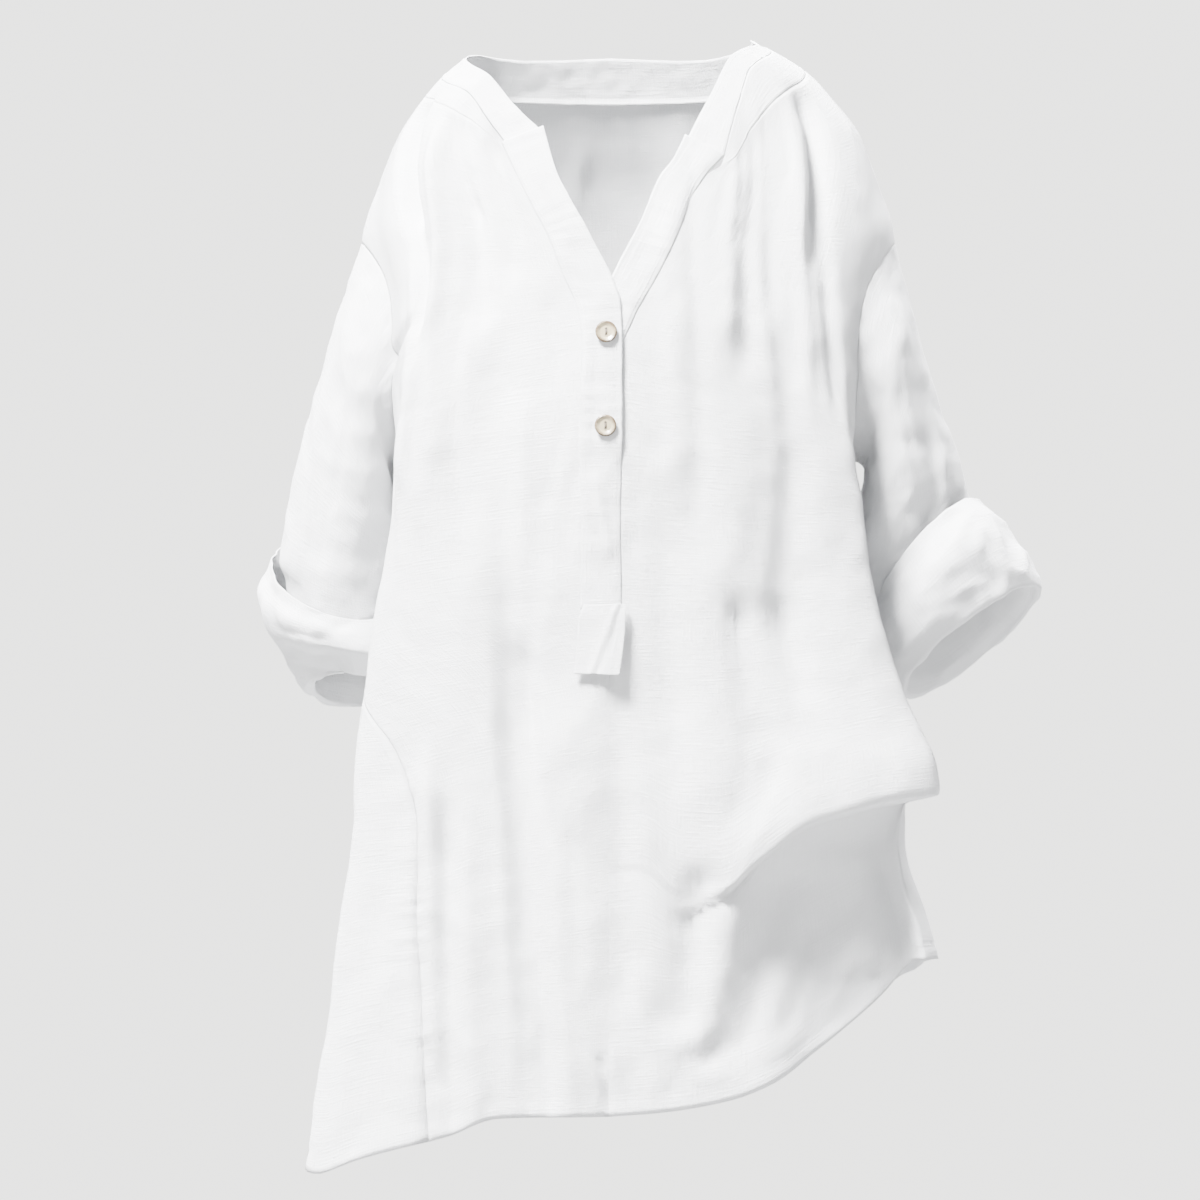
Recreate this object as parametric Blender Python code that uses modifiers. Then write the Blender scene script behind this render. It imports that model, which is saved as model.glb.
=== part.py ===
"""Half-button linen blouse, filled out as if worn and empty inside.

X runs to the wearer's left, Y to the back, Z up. The origin is the middle of the neck on the shoulder line,
where the wearer carries the blouse. Sizes in the tables are millimetres, and the meshes are metres.
"""

import math

import bmesh
import bpy
import numpy as np
from mathutils import Matrix

MM = 0.001
WALL = 1.2  # cloth with its seam allowances pressed flat
LAID_ON = 0.3  # air between a panel and what is sewn on it
EDGE_BACK = 0.3  # each edge stops this far short of its seam line
CORNER = 1.5  # two edges turn less than this at a corner: the length of their unit normals added up
SHOULDER_BACK = 0.8  # the same down to just below the underarm, where pieces meet at a sharper angle
SHOULDER_BELOW = 5  # how far below the underarm that reaches

# The body, one row for each height. ridge and side are half widths, front and back are depths.
# The ridge is where the front turns back towards the sleeve, the side is level with the seam.
BODY_COLUMNS = ("height", "front", "back", "ridge_right", "side_right", "ridge_left", "side_left")
BODY_ROWS = (
    (10, 44, 58, 72, 90, 82, 99),
    (0, 50, 64, 84, 103, 94, 119),
    (-15, 56, 68, 94, 120, 104, 141),
    (-28, 62, 71, 102, 131, 111, 153),
    (-56, 76, 83, 114, 150, 124, 175),
    (-91, 92, 98, 120, 164, 134, 188),
    (-133, 106, 108, 122, 176, 141, 200),
    (-175, 115, 113, 131, 172, 149, 193),
    (-206, 121, 115, 140, 165, 155, 185),
    (-259, 127, 116, 148, 153, 164, 173),
    (-285, 128, 116, 151, 147, 168, 166),
    (-343, 129, 114, 157, 138, 176, 162),
    (-396, 130, 112, 165, 134, 183, 161),
    (-448, 131, 112, 172, 134, 196, 168),
    (-500, 134, 116, 179, 156, 212, 192),
    (-560, 138, 122, 182, 170, 214, 204),
    (-623, 143, 128, 190, 180, 229, 216),
    (-707, 149, 135, 202, 194, 236, 224),
    (-790, 154, 140, 214, 206, 240, 230),
)
BODY = {name: [row[i] for row in reversed(BODY_ROWS)] for i, name in enumerate(BODY_COLUMNS)}

# Angles round the body in degrees: 0 centre front, 90 the wearer's left side, 180 centre back.
RIDGE_ANGLE = 52
CORNER_ANGLE = 130
RIDGE_DEPTH = 0.70  # of the front depth
CORNER_WIDTH = 0.80  # of the side's half width
CORNER_DEPTH = 0.74  # of the back depth

ARMHOLE_TOP = -133
UNDERARM = -285
ARMHOLE_FRONT = 23  # degrees that the armhole reaches forward of the side
ARMHOLE_BACK = 27

# Hem height under each x across the body, the same for the front and the back.
HEM_X = (-214, -204, -169, -115, -78, 0, 62, 104, 146, 188, 228)
HEM_Z = (-777, -783, -770, -756, -743, -741, -735, -724, -700, -668, -635)

# Side seams: angle from the side round to the front at each height. The right one swings to the front.
SIDE_SEAM_Z = (-790, -756, -651, -595, -536, -490, -465, -430, -380, -285)
SIDE_SEAM_ANGLE = {"right": (24, 25, 28, 30, 31, 36, 44, 66, 84, 90), "left": (90,) * 10}

# Seams on the front view, x and height, from the crest of the shoulder in to the neckband's front end.
CREST_Z = {"right": -28, "left": -8}
NECK_CREST_Z = {"right": -15, "left": 6}
SHOULDER_SEAM = {
    "right": ((-117, -38), (-96, -51), (-73, -71)),
    "left": ((113, -36), (97, -57), (88, -74), (76, -82)),
}
NECK_SEAM = {
    "right": ((-101, -29), (-87, -49), (-75, -66)),
    "left": ((98, -10), (91, -30), (84, -54), (78, -76)),
}
NECK_BACK_Z = -28

# Edge of each front half under its placket, height and x, down to the foot of the opening.
OPENING = {
    "right": (((-400, -2), (-385, -13), (-262, -14), (-203, -13), (-180, -17), (-158, -27), (-135, -35),
               (-114, -47), (-97, -56), (-69, -73))),
    "left": (((-400, -2), (-385, 8), (-250, 9), (-186, 11), (-163, 21), (-135, 36), (-109, 47),
              (-94, 56), (-82, 76))),
}
HALF_TURN_Z = -235  # height at centre front of the row that meets the underarm

YOKE = 0.3  # share of the panels' rows that lies above the underarm, for their shapes to blend over
ARM_STEPS = 10
CREST_STEPS = 7
SEAM_STEPS = 10
NECK_STEPS = 7
# Rows below the underarm, as fractions of the way down to the hem, close together at the hip fold.
DOWN = (0, 0.06, 0.12, 0.18, 0.24, 0.30, 0.36, 0.42, 0.48, 0.54, 0.595, 0.638, 0.655, 0.674, 0.70, 0.75, 0.80,
        0.85, 0.90, 0.95, 1)
HIP_ROW = 0.655

# The fold that hangs over the left hip: angle round the body, height of its edge, how far it stands out.
HIP_COLUMNS = ("angle", "edge", "out")
HIP_ROWS = (
    (8, -606, 0),
    (15, -588, 4),
    (19, -570, 9),
    (22, -557, 14),
    (26, -541, 18),
    (32, -531, 20),
    (39, -524, 20),
    (47, -521, 16),
    (62, -519, 10),
    (90, -515, 8),
    (130, -505, 0),
)
HIP = {name: [row[i] for row in HIP_ROWS] for i, name in enumerate(HIP_COLUMNS)}
HIP_DROP = (-140, -75, -9, 0, 8, 60, 160)  # height over the edge
HIP_SHARE = (0, -0.25, -0.45, 0.9, 1, 0.55, 0)  # share of the full depth there

# Folds on the front: x and height of both ends, half width, height (a trough is negative).
FOLDS_FRONT = (
    (-117, -40, -96, -118, 7, -4),  # gathers from the right shoulder seam
    (-104, -46, -92, -190, 8, -5),
    (-84, -62, -70, -160, 8, -4),
    (-134, -38, -140, -120, 8, -6),
    (-122, -60, -126, -280, 9, 5),
    (132, -30, 144, -150, 10, -7),  # gathers from the left shoulder seam
    (112, -40, 108, -190, 8, -3),
    (98, -58, 90, -230, 9, -4),
    (88, -80, 78, -200, 8, 3),
    (-78, -210, -76, -400, 16, -4),  # long folds down the front
    (-72, -400, -46, -735, 17, -12),
    (-118, -540, -116, -750, 10, -6),
    (-102, -540, -96, -745, 10, 4),
    (-128, -500, -118, -752, 8, 7),
    (-30, -460, -20, -720, 24, 5),
    (72, -120, 72, -520, 30, 5),
    (116, -200, 118, -420, 18, -5),
    (86, -385, 112, -520, 9, -5),
    (114, -385, 132, -450, 9, -4),
    (60, -575, 50, -680, 14, -7),
    (78, -590, 64, -690, 16, 5),
    (124, -575, 76, -700, 18, -8),
    (170, -560, 182, -640, 24, 6),
)
# Folds on the sides and the back: angle and height of both ends, half width, height.
FOLDS_BACK = (
    (-150, -60, -152, -330, 16, 5),
    (-166, -110, -164, -520, 14, -6),
    (178, -150, 176, -600, 18, 6),
    (164, -70, 160, -420, 14, -6),
    (146, -90, 140, -560, 16, 5),
    (-140, -330, -134, -770, 20, -9),
    (-120, -420, -112, -770, 16, 8),
    (-158, -420, -150, -750, 18, 7),
    (-100, -480, -92, -770, 12, -6),
    (-66, -500, -62, -770, 14, -5),
    (170, -430, 166, -730, 18, -8),
    (128, -330, 122, -650, 18, -7),
    (108, -380, 100, -640, 14, 5),
)

# Sleeves, one row for each ring: centre x, y and height, then the half width towards the outer side as
# x and height, then the half depth towards the front as x, y and height.
SLEEVES = {
    "right": (
        (-173, 0, -246, -20, 64, 0, -58, 0),
        (-182, 2, -292, -31, 43, 2, -58, -3),
        (-188, 3, -331, -38, 29, 2, -51, -8),
        (-194, 2, -366, -41, 14, 2, -43, -14),
        (-190, 1, -398, -36, 6, 2, -37, -8),
    ),
    "left": (
        (195, 0, -239, 17, 61, -1, -58, 0),
        (207, 0, -289, 25, 41, -3, -58, 2),
        (215, -1, -322, 31, 38, -6, -55, 5),
        (222, -3, -354, 32, 38, -9, -44, 8),
        (232, -5, -380, 31, 31, -9, -38, 8),
    ),
}
# Turned-back cuffs: the free upper edge, then the mouth, in the same columns.
CUFFS = {
    "right": ((-195, 1, -371, -46, 12, 0, -54, -25), (-180, -2, -446, -32, 2, 0, -38, 11)),
    "left": ((223, -4, -357, 36, 43, -13, -47, 11), (253, -10, -412, 46, 37, -9, -46, 12)),
}
# The roll of the cuff after the inner layer: share of the way from edge to mouth, size of the ring.
ROLL = ((0.985, 0.95), (1.03, 0.99), (1.03, 1.05), (0.96, 1.10), (0.80, 1.15), (0.55, 1.16), (0.30, 1.12),
        (0.12, 1.05), (0, 1))
# Puffs of the cuffs: angle round the ring, share of the way from edge to mouth, spread of each, height.
PUFFS = {
    "right": ((0, 0.45, 55, 0.28, 17), (330, 0.9, 40, 0.2, 9), (60, 0.85, 30, 0.2, -5), (100, 0.6, 40, 0.3, 6)),
    "left": ((180, 0.45, 45, 0.3, 9), (75, 0.5, 40, 0.3, 10), (20, 0.6, 30, 0.3, -4), (130, 0.8, 30, 0.2, 4)),
}
RING_STEPS = 2 * ARM_STEPS

# Neckband: rise from the neck seam to the free edge as inwards, y and height, at each place round it.
BAND_RISE = {
    "right": ((27, 29, -2, 9), (38, 21, 4, 8), (52, 16, 7, 12), (90, 18, 1, 15), (130, 12, -7, 24), (180, 0, -8, 30)),
    "left": ((27, 29, -2, 12), (38, 18, 6, 10), (52, 13, 8, 9), (90, 10, 2, 5), (130, 12, -7, 22), (180, 0, -8, 30)),
}
BAND_ROWS = 3

# Plackets: the free edge and the sewn edge, x and height, down the front.
PLACKET_RIGHT = (
    ((-45, -60), (-74, -70)),
    ((-38, -88), (-63, -96)),
    ((-30, -104), (-54, -114)),
    ((-15, -132), (-43, -136)),
    ((0, -162), (-34, -160)),
    ((6, -182), (-24, -184)),
    ((7, -205), (-21, -207)),
    ((7, -240), (-22, -240)),
    ((7, -276), (-23, -276)),
    ((6, -330), (-21, -330)),
    ((7, -391), (-22, -391)),
)
PLACKET_LEFT = (
    ((49, -65), (76, -79)),
    ((42, -78), (64, -91)),
    ((33, -90), (56, -105)),
    ((20, -121), (45, -131)),
    ((2, -156), (30, -163)),
    ((-8, -182), (18, -188)),
    ((-8, -240), (17, -240)),
    ((-8, -310), (16, -310)),
    ((-8, -391), (14, -391)),
)
PLACKET_ACROSS = (0, 0.26, 0.5, 0.75, 1)
STRIP_ROWS = 18
# The free foot of the placket: x of both edges, height, how far each edge stands off the front.
TAB_ROWS = (
    (-19, 9, -388, 4.8, 4.8),
    (-22, 9, -396, 4.4, 4.8),
    (-24, 8, -412, 3.2, 5.5),
    (-25, 6, -426, 2.6, 7.5),
    (-26, 4, -436, 2.4, 8.5),
)
TAB_ACROSS = (0, 0.25, 0.5, 0.75, 1)

BUTTONS = {"button_top": (-4, -200), "button_bottom": (-4.5, -264.5)}
BUTTON_RADIUS = 7.6
BUTTON_THICK = 2.8
BUTTON_DISH = 5.2
BUTTON_HOLE = 0.95
BUTTON_HOLE_APART = 3.8

LINEN = (0.93, 0.93, 0.92, 1)
SHELL = (0.84, 0.80, 0.70, 1)


def through(knots, values, at):
    """Smooth curve through the values at the knots, which never swings past them."""
    knots = np.asarray(knots, float)
    at = np.clip(np.asarray(at, float), knots[0], knots[-1])
    values = np.broadcast_to(np.asarray(values, float), at.shape + knots.shape)
    gap = np.diff(knots)
    rise = np.diff(values, axis=-1) / gap
    before, after = rise[..., :-1], rise[..., 1:]
    turns = before * after <= 0
    inner = np.where(turns, 0, 2 * before * after / np.where(turns, 1, before + after))
    slope = np.concatenate([rise[..., :1], inner, rise[..., -1:]], axis=-1)
    i = np.clip(np.searchsorted(knots, at, side="right") - 1, 0, len(gap) - 1)
    t = (at - knots[i]) / gap[i]

    def pick(array, index):
        return np.take_along_axis(array, index[..., None], -1)[..., 0]

    start, end = pick(values, i), pick(values, i + 1)
    leave, arrive = pick(slope, i) * gap[i], pick(slope, i + 1) * gap[i]
    return (start * (1 + 2 * t) * (1 - t) ** 2 + leave * t * (1 - t) ** 2
            + end * t * t * (3 - 2 * t) + arrive * t * t * (t - 1))


def ease(t):
    t = np.clip(t, 0, 1)
    return t * t * (3 - 2 * t)


def body_ring(angle, height):
    """Plan position of the plain body at an angle and a height."""
    size = {name: through(BODY["height"], BODY[name], height) for name in BODY_COLUMNS[1:]}
    front, back = size["front"], size["back"]
    nothing = np.zeros_like(front)
    right = [size["ridge_right"], size["side_right"], CORNER_WIDTH * size["side_right"]]
    left = [size["ridge_left"], size["side_left"], CORNER_WIDTH * size["side_left"]]
    stations = (-270, CORNER_ANGLE - 360, -180, -CORNER_ANGLE, -90, -RIDGE_ANGLE, 0, RIDGE_ANGLE, 90, CORNER_ANGLE,
                180, 360 - CORNER_ANGLE, 270)
    across = [left[1], left[2], nothing, -right[2], -right[1], -right[0], nothing, left[0], left[1], left[2],
              nothing, -right[2], -right[1]]
    corner = CORNER_DEPTH * back
    ridge = -RIDGE_DEPTH * front
    deep = [nothing, corner, back, corner, nothing, ridge, -front, ridge, nothing, corner, back, corner, nothing]
    return (through(stations, np.stack(across, -1), angle), through(stations, np.stack(deep, -1), angle))


def front_angle(x, height):
    """Angle at which the plain body passes x on its front."""
    x, height = np.broadcast_arrays(np.asarray(x, float), np.asarray(height, float))
    tries = np.linspace(0, 90, 181)
    signed = np.where(x < 0, -1.0, 1.0)[..., None] * tries
    reach = np.abs(body_ring(signed, np.broadcast_to(height[..., None], signed.shape))[0])
    past = reach >= np.abs(x)[..., None]
    i = np.clip(np.where(past.any(-1), past.argmax(-1), 180), 1, 180)
    low = np.take_along_axis(reach, (i - 1)[..., None], -1)[..., 0]
    high = np.take_along_axis(reach, i[..., None], -1)[..., 0]
    part = np.clip((np.abs(x) - low) / np.maximum(high - low, 1e-6), 0, 1)
    return np.where(x < 0, -1.0, 1.0) * 0.5 * (i - 1 + part)


def fold_paths():
    """Every fold as angle and height of both ends, half width and height."""
    for x0, z0, x1, z1, width, tall in FOLDS_FRONT:
        yield float(front_angle(x0, z0)), z0, float(front_angle(x1, z1)), z1, width, tall
    yield from FOLDS_BACK


FOLDS = tuple(fold_paths())


def folds_out(angle, height, per_degree):
    """How far the folds push the cloth out."""
    out = np.zeros_like(angle)
    for a0, z0, a1, z1, width, tall in FOLDS:
        t = (height - z0) / (z1 - z0)
        off = (angle - (a0 + (a1 - a0) * np.clip(t, 0, 1)) + 180) % 360 - 180
        ends = ease(t / 0.25 + 0.5) * ease((1 - t) / 0.25 + 0.6)
        out += tall * np.exp(-((off * per_degree / width) ** 2)) * ends
    edge = through(HIP["angle"], HIP["edge"], angle)
    return out + through(HIP["angle"], HIP["out"], angle) * through(HIP_DROP, HIP_SHARE, height - edge)


def skin(angle, height):
    """Outer surface of the body's cloth."""
    angle, height = np.broadcast_arrays(np.asarray(angle, float), np.asarray(height, float))
    x, y = body_ring(angle, height)
    ahead_x, ahead_y = body_ring(angle + 0.5, height)
    behind_x, behind_y = body_ring(angle - 0.5, height)
    along_x, along_y = ahead_x - behind_x, ahead_y - behind_y
    per_degree = np.hypot(along_x, along_y)
    out = folds_out(angle, height, per_degree)
    return np.stack([x + out * along_y / per_degree, y - out * along_x / per_degree, height], -1)


def unit(vectors):
    return vectors / np.linalg.norm(vectors, axis=-1, keepdims=True)


def laid_on(x, height, out):
    """A point of something laid on the front, this far out from the cloth."""
    angle = front_angle(x, height)
    around = skin(angle + 0.7, height) - skin(angle - 0.7, height)
    down = skin(angle, np.asarray(height) - 1.0) - skin(angle, np.asarray(height) + 1.0)
    normal = unit(np.cross(down, around))
    return skin(angle, height) + normal * np.asarray(out)[..., None]


def spaced(path, count, dense=200):
    """A path of angles and heights, smoothed and cut into equal lengths."""
    path = np.asarray(path, float)
    at = np.linspace(0, len(path) - 1, dense)
    fine = np.stack([through(np.arange(len(path)), path[:, i], at) for i in (0, 1)], -1)
    length = np.linalg.norm(np.diff(skin(fine[:, 0], fine[:, 1]), axis=0), axis=-1)
    travelled = np.concatenate([[0], np.cumsum(length)])
    wanted = np.linspace(0, travelled[-1], count + 1)
    return np.stack([np.interp(wanted, travelled, fine[:, i]) for i in (0, 1)], -1)


def hem_height(angle):
    """Height of the hem at an angle round the body."""
    height = np.full_like(np.asarray(angle, float), -700)
    for _ in range(12):
        height = 0.5 * height + 0.5 * through(HEM_X, HEM_Z, body_ring(angle, height)[0])
    return height


def armhole(side, turn):
    """Angle and height on the armhole, turn 0 at its top, 90 at its front, 180 at the underarm."""
    swing = math.sin(math.radians(turn))
    reach = ARMHOLE_FRONT if swing > 0 else ARMHOLE_BACK
    height = (ARMHOLE_TOP + UNDERARM) / 2 + (ARMHOLE_TOP - UNDERARM) / 2 * math.cos(math.radians(turn))
    return (sign(side) * (90 - reach * swing), height)


def sign(side):
    return -1 if side == "right" else 1


def side_edge(side, front):
    """Armhole and side seam of one half, from the top of the armhole to the hem."""
    turns = [180 * i / ARM_STEPS * (1 if front else -1) for i in range(ARM_STEPS + 1)]
    rows = [armhole(side, turn) for turn in turns]
    foot = -770.0 if side == "right" else -640.0
    for _ in range(8):
        angle = sign(side) * float(through(SIDE_SEAM_Z, SIDE_SEAM_ANGLE[side], foot))
        foot = float(hem_height(np.array([angle]))[0])
    for part in DOWN[1:]:
        height = UNDERARM + (foot - UNDERARM) * part
        rows.append((sign(side) * float(through(SIDE_SEAM_Z, SIDE_SEAM_ANGLE[side], height)), height))
    return np.array(rows)


def patch(outer, inner, top, bottom, pull=None):
    """Fills the field between four edges. The top's shape is kept near it, and fades out by the underarm."""
    v = np.array([YOKE * i / ARM_STEPS for i in range(ARM_STEPS)] + [YOKE + (1 - YOKE) * part for part in DOWN])
    v, u = v[:, None], np.linspace(0, 1, len(top))[None, :]
    fade = np.clip(1 - v / YOKE, 0, 1) ** 1.5
    field = []
    beside_hole = ease(1 - u * (len(top) - 1) / CREST_STEPS)
    for i, near_outer, near_inner in ((0, beside_hole, u**6), (1, 1 - u, u)):
        straight = (1 - u) * outer[:, None, i] + u * inner[:, None, i]
        shifts = near_outer * (outer[:, None, i] - top[0, i]) + near_inner * (inner[:, None, i] - top[-1, i])
        sag = bottom[:, i] - ((1 - u) * bottom[0, i] + u * bottom[-1, i])
        field.append(fade * (top[:, i] + shifts) + (1 - fade) * straight + v**3 * sag)
    field = np.stack(field, -1)
    if pull is not None:
        field[..., 1] += pull(field)
    return field


def hip_pull(field):
    """Moves rows up or down, so that one runs along the edge of the hip fold."""
    row = ARM_STEPS + DOWN.index(HIP_ROW)
    angle, height = field[row, :, 0], field[row, :, 1]
    inside = ease(angle / 12) * ease(through(HIP["angle"], HIP["out"], angle) / 2)
    wanted = (through(HIP["angle"], HIP["edge"], angle) - height) * inside
    parts = np.array([-1.0] * ARM_STEPS + list(DOWN))
    return wanted[None, :] * np.exp(-(((parts - HIP_ROW) / 0.13) ** 2))[:, None]


def to_angles(points):
    points = np.asarray(points, float)
    return np.stack([front_angle(points[:, 0], points[:, 1]), points[:, 1]], -1)


def crest(side, low, high, steps):
    """The crest of the shoulder, which the sides of the body share."""
    return np.array([(sign(side) * 90.0, z) for z in np.linspace(low, high, steps + 1)])


def shoulder_seam(side):
    """From the crest of the shoulder in to the neckband's front end."""
    start = np.array([[sign(side) * 90.0, CREST_Z[side]]])
    return spaced(np.concatenate([start, to_angles(SHOULDER_SEAM[side])]), SEAM_STEPS)


def neck_seam_front(side):
    start = np.array([[sign(side) * 90.0, NECK_CREST_Z[side]]])
    return spaced(np.concatenate([start, to_angles(NECK_SEAM[side])]), SEAM_STEPS)


def neck_seam_back(side):
    crest_z = NECK_CREST_Z[side]
    stops = [(sign(side) * a, crest_z + (NECK_BACK_Z - crest_z) * ease((a - 90) / 75)) for a in (90, 112, 135, 158, 180)]
    return spaced(stops, NECK_STEPS)


def front_half(side):
    outer = side_edge(side, front=True)
    seam = shoulder_seam(side)
    top = np.concatenate([crest(side, ARMHOLE_TOP, CREST_Z[side], CREST_STEPS)[:-1], seam])
    heights, edge_x = zip(*OPENING[side])
    neck_z = SHOULDER_SEAM[side][-1][1]
    hem_z = float(through(HEM_X, HEM_Z, edge_x[0]))
    upper = np.linspace(neck_z, HALF_TURN_Z, ARM_STEPS + 1)
    lower = HALF_TURN_Z + (hem_z - HALF_TURN_Z) * np.array(DOWN[1:])
    down = np.concatenate([upper, lower])
    inner = to_angles(np.stack([through(heights, edge_x, down), down], -1))
    inner[0] = seam[-1]
    angles = np.linspace(outer[-1, 0], inner[-1, 0], len(top))
    bottom = np.stack([angles, hem_height(angles)], -1)
    bottom[-1] = inner[-1]
    field = patch(outer, inner, top, bottom, hip_pull if side == "left" else None)
    return skin(field[..., 0], field[..., 1])


def back_half(side):
    outer = side_edge(side, front=False)
    collar = neck_seam_back(side)
    shoulder = crest(side, ARMHOLE_TOP, CREST_Z[side], CREST_STEPS)
    step_in = crest(side, CREST_Z[side], NECK_CREST_Z[side], 2)
    top = np.concatenate([shoulder[:-1], step_in[:-1], collar])
    hem_z = float(hem_height(np.array([180.0]))[0])
    upper = np.linspace(NECK_BACK_Z, HALF_TURN_Z - 25, ARM_STEPS + 1)
    lower = HALF_TURN_Z - 25 + (hem_z - HALF_TURN_Z + 25) * np.array(DOWN[1:])
    down = np.concatenate([upper, lower])
    inner = np.stack([np.full(len(down), sign(side) * 180.0), down], -1)
    angles = np.linspace(outer[-1, 0], sign(side) * 180.0, len(top))
    bottom = np.stack([angles, hem_height(angles)], -1)
    field = patch(outer, inner, top, bottom)
    return skin(field[..., 0], field[..., 1])


def shoulder_tongue(side):
    """The back's stretch over the shoulder, between the neck seam and the shoulder seam."""
    seam, neck = shoulder_seam(side), neck_seam_front(side)
    share = np.linspace(0, 1, 3)[None, :, None]
    field = seam[:, None, :] * (1 - share) + neck[:, None, :] * share
    return skin(field[..., 0], field[..., 1])


def ring_points(row, count, extra=None):
    """Points round one ring of a sleeve or cuff."""
    x, y, z, out_x, out_z, front_x, front_y, front_z = row
    turn = np.radians(np.arange(count) * 360 / count)
    centre, out = np.array([x, y, z]), np.array([out_x, 0, out_z])
    front = np.array([front_x, front_y, front_z])
    spread = np.cos(turn)[:, None] * out + np.sin(turn)[:, None] * front
    points = centre + spread
    if extra is not None:
        points = points + unit(spread) * extra(np.degrees(turn))[:, None]
    return points


def between(first, second, share):
    return tuple(a + (b - a) * share for a, b in zip(first, second))


def sleeve_rows(side):
    """Rings of a sleeve: the armhole itself, then the rings of the table and one between each two."""
    table = SLEEVES[side]
    turns = [360 * i / RING_STEPS for i in range(RING_STEPS)]
    hole = np.array([armhole(side, turn) for turn in turns])
    first = skin(hole[:, 0], hole[:, 1])
    second = ring_points(table[0], RING_STEPS)
    under = (1 - np.cos(np.radians(turns))) / 2
    lift = np.stack([sign(side) * under, 0 * under, 0 * under], -1)
    rings = [first, first * 0.78 + second * 0.22 + 5 * lift, first * 0.4 + second * 0.6 + 5 * lift]
    for i, row in enumerate(table):
        rings.append(ring_points(row, RING_STEPS, sleeve_folds(side, i)))
        if i + 1 < len(table):
            rings.append(ring_points(between(row, table[i + 1], 0.5), RING_STEPS, sleeve_folds(side, i + 0.5)))
    return rings


def sleeve_folds(side, place):
    """Two soft folds that run down the sleeve, deepest halfway."""
    def extra(turn):
        depth = 5 * math.sin(math.pi * min(place / 3.6, 1))
        first = np.exp(-(((turn - 42 - 6 * place) / 14) ** 2))
        second = np.exp(-(((turn - 130 + 4 * place) / 16) ** 2))
        third = np.exp(-(((turn - 285 + 5 * place) / 18) ** 2))
        return -depth * first - 0.7 * depth * second - 0.8 * depth * third
    return extra


def cuff_rows(side):
    """Rings of a cuff: the layer inside from the sleeve's end to the mouth, the roll, the turned-up layer."""
    edge, mouth = CUFFS[side]
    end = SLEEVES[side][-1]
    start = ring_points(end, RING_STEPS, sleeve_folds(side, len(SLEEVES[side]) - 1))
    lip = ring_points(scaled(mouth, 0.9), RING_STEPS)
    rings = [start, start * 0.55 + lip * 0.45, start * 0.15 + lip * 0.85]
    for share, size in ROLL:
        rings.append(ring_points(scaled(between(edge, mouth, share), size), RING_STEPS, puff(side, share, size)))
    return rings


def scaled(row, size):
    return row[:3] + tuple(value * size for value in row[3:])


def puff(side, share, size):
    """Swelling of the turned-up layer."""
    def extra(turn):
        outward = np.zeros_like(turn)
        for at, along, spread, reach, tall in PUFFS[side]:
            off = (turn - at + 180) % 360 - 180
            outward += tall * np.exp(-((off / spread) ** 2) - ((share - along) / reach) ** 2)
        return outward * ease((size - 0.99) / 0.08)
    return extra


def band_rows():
    """Neckband from its front end on the right, round the back, to its front end on the left."""
    low = np.concatenate([neck_seam_front("right")[::-1], neck_seam_back("right")[1:],
                          neck_seam_back("left")[::-1][1:], neck_seam_front("left")[1:]])
    foot = skin(low[:, 0], low[:, 1])
    rise = np.zeros_like(foot)
    for side in ("right", "left"):
        places, inwards, backwards, upwards = zip(*BAND_RISE[side])
        mine = (np.sign(low[:, 0]) == sign(side)) | (np.abs(low[:, 0]) == 180)
        around = np.abs(low[mine, 0])
        rise[mine] = np.stack([-sign(side) * through(places, inwards, around), through(places, backwards, around),
                               through(places, upwards, around)], -1)
    across = np.linspace(0, 1, BAND_ROWS + 1)
    start = 0.012
    return [foot + rise * (start + (1 - start) * part) for part in across]


def strip_rows(edges, across, outs):
    """A strip laid on the front, with its edges smoothed through the pairs of points."""
    points = np.array([free + sewn for free, sewn in edges], float)
    place = np.concatenate([[0], np.cumsum(np.hypot(*np.diff(points[:, :2], axis=0).T))])
    rows = []
    for at in np.linspace(0, place[-1], STRIP_ROWS + 1):
        free_x, free_z, sewn_x, sewn_z = (float(through(place, points[:, i], at)) for i in range(4))
        share = np.asarray(across, float)
        x, z = sewn_x + (free_x - sewn_x) * share, sewn_z + (free_z - sewn_z) * share
        rows.append(laid_on(x, z, np.asarray(outs, float)))
    return rows


def tab_rows():
    rows = []
    for left_x, right_x, z, left_out, right_out in TAB_ROWS:
        share = np.asarray(TAB_ACROSS)
        x = left_x + (right_x - left_x) * share
        rows.append(laid_on(x, np.full_like(x, z), left_out + (right_out - left_out) * share**2))
    return rows


def cloth_material(name):
    material = bpy.data.materials.new(name)
    material.use_nodes = True
    shader = material.node_tree.nodes["Principled BSDF"]
    shader.inputs["Base Color"].default_value = LINEN
    shader.inputs["Roughness"].default_value = 0.85
    shader.inputs["Metallic"].default_value = 0
    return material


def button_material():
    material = bpy.data.materials.new("button_shell")
    material.use_nodes = True
    shader = material.node_tree.nodes["Principled BSDF"]
    shader.inputs["Base Color"].default_value = SHELL
    shader.inputs["Roughness"].default_value = 0.35
    shader.inputs["Metallic"].default_value = 0
    return material


def add_grid(mesh, rows, closed=False, turned=False):
    """Adds faces between rows of points. A closed grid joins each row's last point to its first."""
    made = [[mesh.verts.new(point * MM) for point in row] for row in rows]
    width = len(made[0])
    for upper, lower in zip(made, made[1:]):
        for i in range(width if closed else width - 1):
            corners = [upper[i], upper[(i + 1) % width], lower[(i + 1) % width], lower[i]]
            mesh.faces.new(corners[::-1] if turned else corners)


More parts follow.
